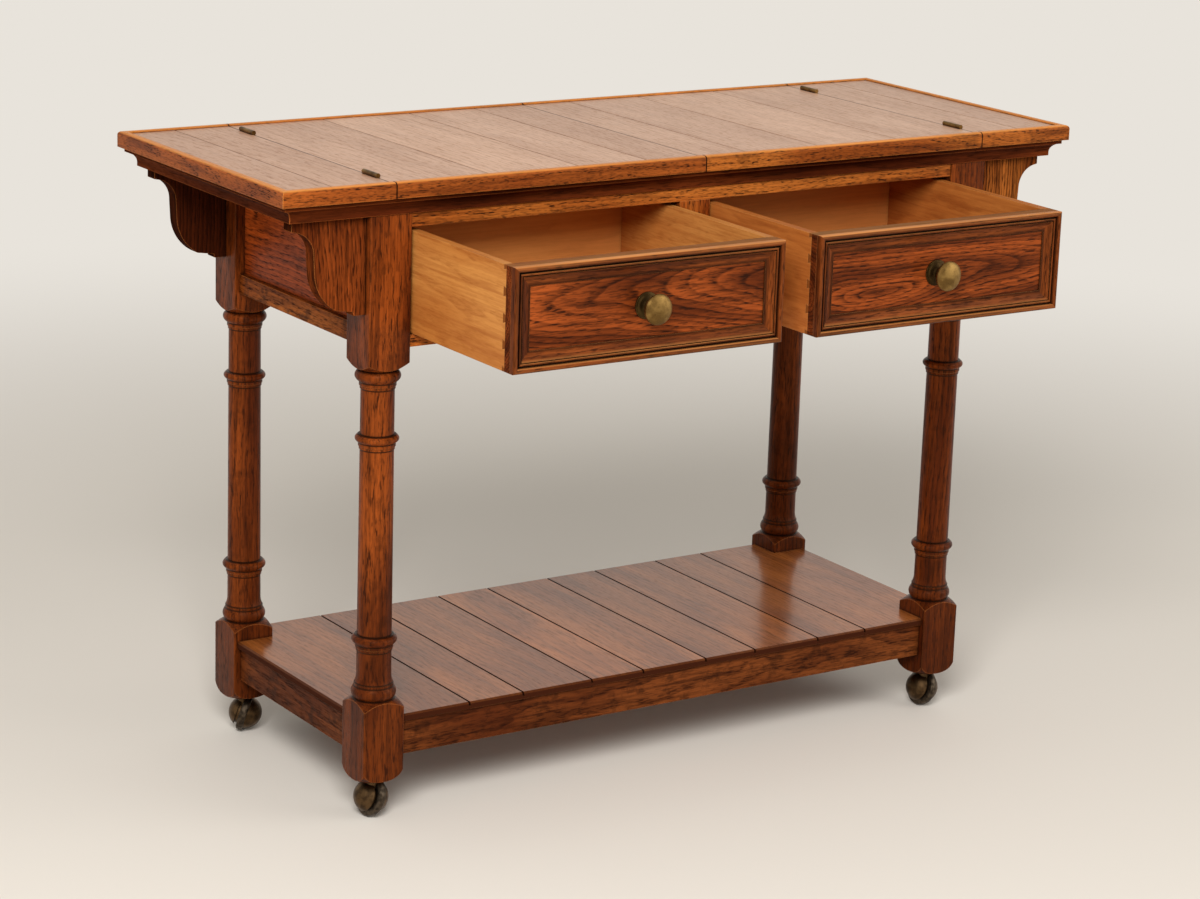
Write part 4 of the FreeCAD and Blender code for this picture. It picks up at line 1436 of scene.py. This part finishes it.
@dataclass
class BallCasters:
    """Hooded ball casters, each with a tilted axle."""

    ball_radius: float = 0.0235
    tyre_radius: float = 0.027
    tyre_half: float = 0.005
    tyre_edge: float = 0.0018
    tyre_corner: Pair = (0.3, 0.4)
    hood_gap: float = 0.0006
    tilt: float = 18.0
    hood_recess: float = 0.0042
    hood_throat: float = 0.0188
    lag: float = 0.0015
    trail: float = -0.0050
    neck_radius: float = 0.008
    neck_gap: float = 0.0003
    neck_ease: float = 0.0008
    stem_radius: float = 0.0055
    stem_length: float = 0.038
    ball_sides: int = 48
    tyre_sides: int = 64
    neck_sides: int = 32
    smooth_angle: float = 40.0
    pole: float = 0.02
    headings: dict[str, float] = field(default_factory=lambda: {
        "front_left": 184.0, "front_right": 180.5, "back_left": 141.5, "back_right": 242.0})
    bronze: Metal = Metal("bronze", stain(94, 72, 48), stain(66, 50, 33), stain(14, 9, 6),
                          roughness=0.42, blotch=110.0)
    tyre_metal: Metal = Metal("worn_tyre", stain(88, 76, 63), stain(56, 48, 39), stain(18, 14, 11),
                              roughness=0.46, blotch=160.0)

    def dome(self, start: float, steps: int = 14) -> list[Ring]:
        """Rings of a ball.

        Args:
            start: Height of its flat face.
            steps: Rings between that face and the pole.

        Returns:
            The rings, from the flat face out to the pole.
        """
        low = math.acos(start / self.ball_radius)
        turns = [low * (1 - k / steps) for k in range(steps)] + [low * self.pole]
        return [(self.ball_radius * math.cos(turn), self.ball_radius * math.sin(turn)) for turn in turns]

    def build(self) -> None:
        """Model hood, wheel and tyre once, and set them under each leg."""
        bronze = self.bronze.material()
        tyre_metal = self.tyre_metal.material()
        start = self.tyre_half + self.hood_gap
        half, edge = self.tyre_half, self.tyre_edge
        brim = start + self.hood_recess
        rings = [(start, self.hood_throat), (brim, self.hood_throat)] + self.dome(brim)
        hood = Workbench.turn("hood_pattern", rings, self.ball_sides)
        wheel_rings = [(-height, radius) for height, radius in reversed(self.dome(half))]
        wheel = Workbench.turn("wheel_pattern", wheel_rings, self.ball_sides)
        flat = self.tyre_radius
        inset, drop = (edge * share for share in self.tyre_corner)
        rings = [(-half, flat - edge), (-half + inset, flat - drop), (-half + edge, flat)]
        rings += [(-height, radius) for height, radius in reversed(rings)]
        tyre = Workbench.turn("tyre_pattern", rings, self.tyre_sides)
        for pattern in (hood, wheel, tyre):
            Workbench.smooth(pattern, self.smooth_angle)
        for name in CORNERS:
            low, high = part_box("leg_" + name)
            axis = (low + high) / 2
            heading, tilt = math.radians(self.headings[name]), math.radians(self.tilt)
            ahead = Vector((math.cos(heading), math.sin(heading), 0.0))
            aside = Vector((-ahead.y, ahead.x, 0.0))
            height = flat * math.cos(tilt) + (half - edge) * math.sin(tilt)
            centre = Vector((axis.x, axis.y, height)) - ahead * self.lag + aside * self.trail
            axle = ahead * math.cos(tilt) + Vector((0.0, 0.0, math.sin(tilt)))
            turn = Matrix.Rotation(heading, 4, "Z") @ Matrix.Rotation(math.radians(90 - self.tilt), 4, "Y")
            place = Matrix.Translation(centre) @ turn
            shell = Workbench.copy(hood, "caster_hood_" + name, place)
            neck = self.neck(low.z, height, Matrix.Translation((axis.x, axis.y, 0.0)))
            self.clear_of_wheel(neck, centre + axle * start, axle)
            Workbench.join(shell, neck)
            Workbench.smooth(shell, self.smooth_angle)
            stand_in(shell, "swivel_" + name, "bronze", bronze, "caster_swivel_" + name)
            ball = Workbench.copy(wheel, "caster_ball_" + name, place)
            stand_in(ball, "wheel_" + name, "bronze", bronze, "caster_wheel_" + name)
            band = Workbench.copy(tyre, "caster_tyre_" + name, place)
            stand_in(band, "wheel_" + name, "bronze", tyre_metal)
        Workbench.discard(hood, wheel, tyre)

    def neck(self, foot: float, low: float, place: Matrix) -> Piece:
        """Neck and stem that turn in the leg's socket.

        Args:
            foot: Height of the leg's foot.
            low: Height of the neck's lower end.
            place: Place of the leg's axis.

        Returns:
            The piece.
        """
        top, ease = foot - self.neck_gap, self.neck_ease
        rings = [(low, self.neck_radius), (top - ease, self.neck_radius), (top, self.neck_radius - ease),
                 (top, self.stem_radius), (top + self.stem_length, self.stem_radius)]
        piece = Workbench.turn("neck", rings, self.neck_sides)
        Workbench.settle(piece, place)
        return piece

    @staticmethod
    def clear_of_wheel(piece: Piece, point: Vector, normal: Vector) -> None:
        """Cut away what lies on the wheel's side of a plane.

        Args:
            piece: The piece.
            point: Point of the plane.
            normal: Direction away from the wheel.
        """
        Workbench.edit(piece, Pick.POINTS, lambda _: True)
        bpy.ops.mesh.select_all(action="SELECT")
        bpy.ops.mesh.bisect(plane_co=point, plane_no=normal, use_fill=True, clear_inner=True)
        bpy.ops.object.mode_set(mode="OBJECT")


@dataclass
class Studio:
    """Plain floor, soft light, pale surroundings and the photograph's viewpoint."""

    floor_half: float = 16.0
    floor_fade: Pair = (1.2, 3.6)
    floor_roughness: float = 0.7
    floor_colour: Colour = stain(222, 215, 205)
    backdrop: Colour = stain(232, 227, 219)
    sky: Colour = stain(240, 237, 231)
    sky_light: float = 0.50
    key_place: tuple[float, float, float] = (-2.4, -2.9, 3.0)
    key_size: float = 1.8
    key_power: float = 215.0
    key_glare: float = 0.3
    fill_place: tuple[float, float, float] = (3.2, -3.0, 2.2)
    fill_size: float = 3.0
    fill_power: float = 55.0
    aim: tuple[float, float, float] = (0.0, 0.05, 0.45)
    eye: tuple[float, float, float] = (-2.474219, -3.615998, 1.620105)
    heading: float = 33.51904
    dip: float = 15.19707
    roll: float = -1.86248
    lens: float = 98.386
    sensor: float = 36.0
    sight: float = 100.0

    def build(self) -> None:
        """Set up the floor, the light and the camera."""
        self.floor()
        self.surroundings()
        self.lamp("key", self.key_place, self.key_size, self.key_power * (1.0 - self.key_glare), False)
        self.lamp("key_glare", self.key_place, self.key_size, self.key_power * self.key_glare)
        self.lamp("fill", self.fill_place, self.fill_size, self.fill_power)
        self.camera()

    def floor(self) -> None:
        """Plain pale floor, out to the horizon."""
        Workbench.clear()
        bpy.ops.mesh.primitive_plane_add(size=2 * self.floor_half, location=(0.0, 0.0, 0.0))
        floor = bpy.context.object
        floor.name = "floor"
        recipe = Recipe("pale_floor")
        x, y, _ = recipe.place()
        ground = recipe.node("ShaderNodeBsdfPrincipled", {},
                             {"Base Color": self.floor_colour, "Roughness": self.floor_roughness})
        far = recipe.node("ShaderNodeEmission", {}, {"Color": self.backdrop, "Strength": 1.0})
        share = (x * x + y * y).root().between(*self.floor_fade) * recipe.shown()
        recipe.close(recipe.blend(share, ground, far))
        floor.data.materials.append(recipe.holder)

    def surroundings(self) -> None:
        """Pale surroundings, plainer as a light than they look."""
        world = bpy.data.worlds.new("pale_surroundings")
        bpy.context.scene.world = world
        recipe = Recipe(world.name, holder=world)
        light = recipe.node("ShaderNodeBackground", {}, {"Color": self.sky, "Strength": self.sky_light})
        look = recipe.node("ShaderNodeBackground", {}, {"Color": self.backdrop, "Strength": 1.0})
        recipe.close(recipe.blend(recipe.shown(), light, look), "ShaderNodeOutputWorld")

    def lamp(self, name: str, place: tuple[float, float, float], size: float, power: float,
             mirrored: bool = True) -> None:
        """Add one soft lamp.

        Args:
            name: Name of the lamp.
            place: Where it hangs.
            size: Its width.
            power: Its power in watts.
            mirrored: True if it shows in shiny surfaces.
        """
        light = bpy.data.lights.new(name, "AREA")
        light.shape = "SQUARE"
        light.size = size
        light.energy = power
        lamp = bpy.data.objects.new(name, light)
        bpy.context.collection.objects.link(lamp)
        lamp.visible_glossy = mirrored
        toward = Vector(self.aim) - Vector(place)
        lamp.matrix_world = Matrix.Translation(place) @ toward.to_track_quat("-Z", "Y").to_matrix().to_4x4()

    def camera(self) -> None:
        """Camera at the photograph's viewpoint."""
        heading, dip, roll = (math.radians(angle) for angle in (self.heading, self.dip, self.roll))
        ahead = Vector((math.sin(heading), math.cos(heading), 0.0))
        forward = ahead * math.cos(dip) - Vector((0.0, 0.0, math.sin(dip)))
        right = Vector((math.cos(heading), -math.sin(heading), 0.0))
        up = right.cross(forward)
        side = right * math.cos(roll) - up * math.sin(roll)
        head = right * math.sin(roll) + up * math.cos(roll)
        turn = Matrix((side, head, -forward)).transposed().to_4x4()
        lens = bpy.data.cameras.new("view")
        lens.lens = self.lens
        lens.sensor_width = self.sensor
        lens.sensor_fit = "HORIZONTAL"
        lens.clip_end = self.sight
        camera = bpy.data.objects.new("view", lens)
        bpy.context.collection.objects.link(camera)
        camera.matrix_world = Matrix.Translation(self.eye) @ turn
        bpy.context.scene.camera = camera
        bpy.context.scene.view_settings.view_transform = "Standard"


def main() -> None:
    """Build and dress the trolley, and set the stage."""
    logging.basicConfig(level=logging.INFO, format="%(message)s")
    FoldingTop().finish()
    MouldedFrame().finish()
    TurnedLegs().build()
    Carcase().finish()
    Drawers().build()
    LowerShelf().finish()
    BallCasters().build()
    Studio().build()


if __name__ == "__main__":
    main()
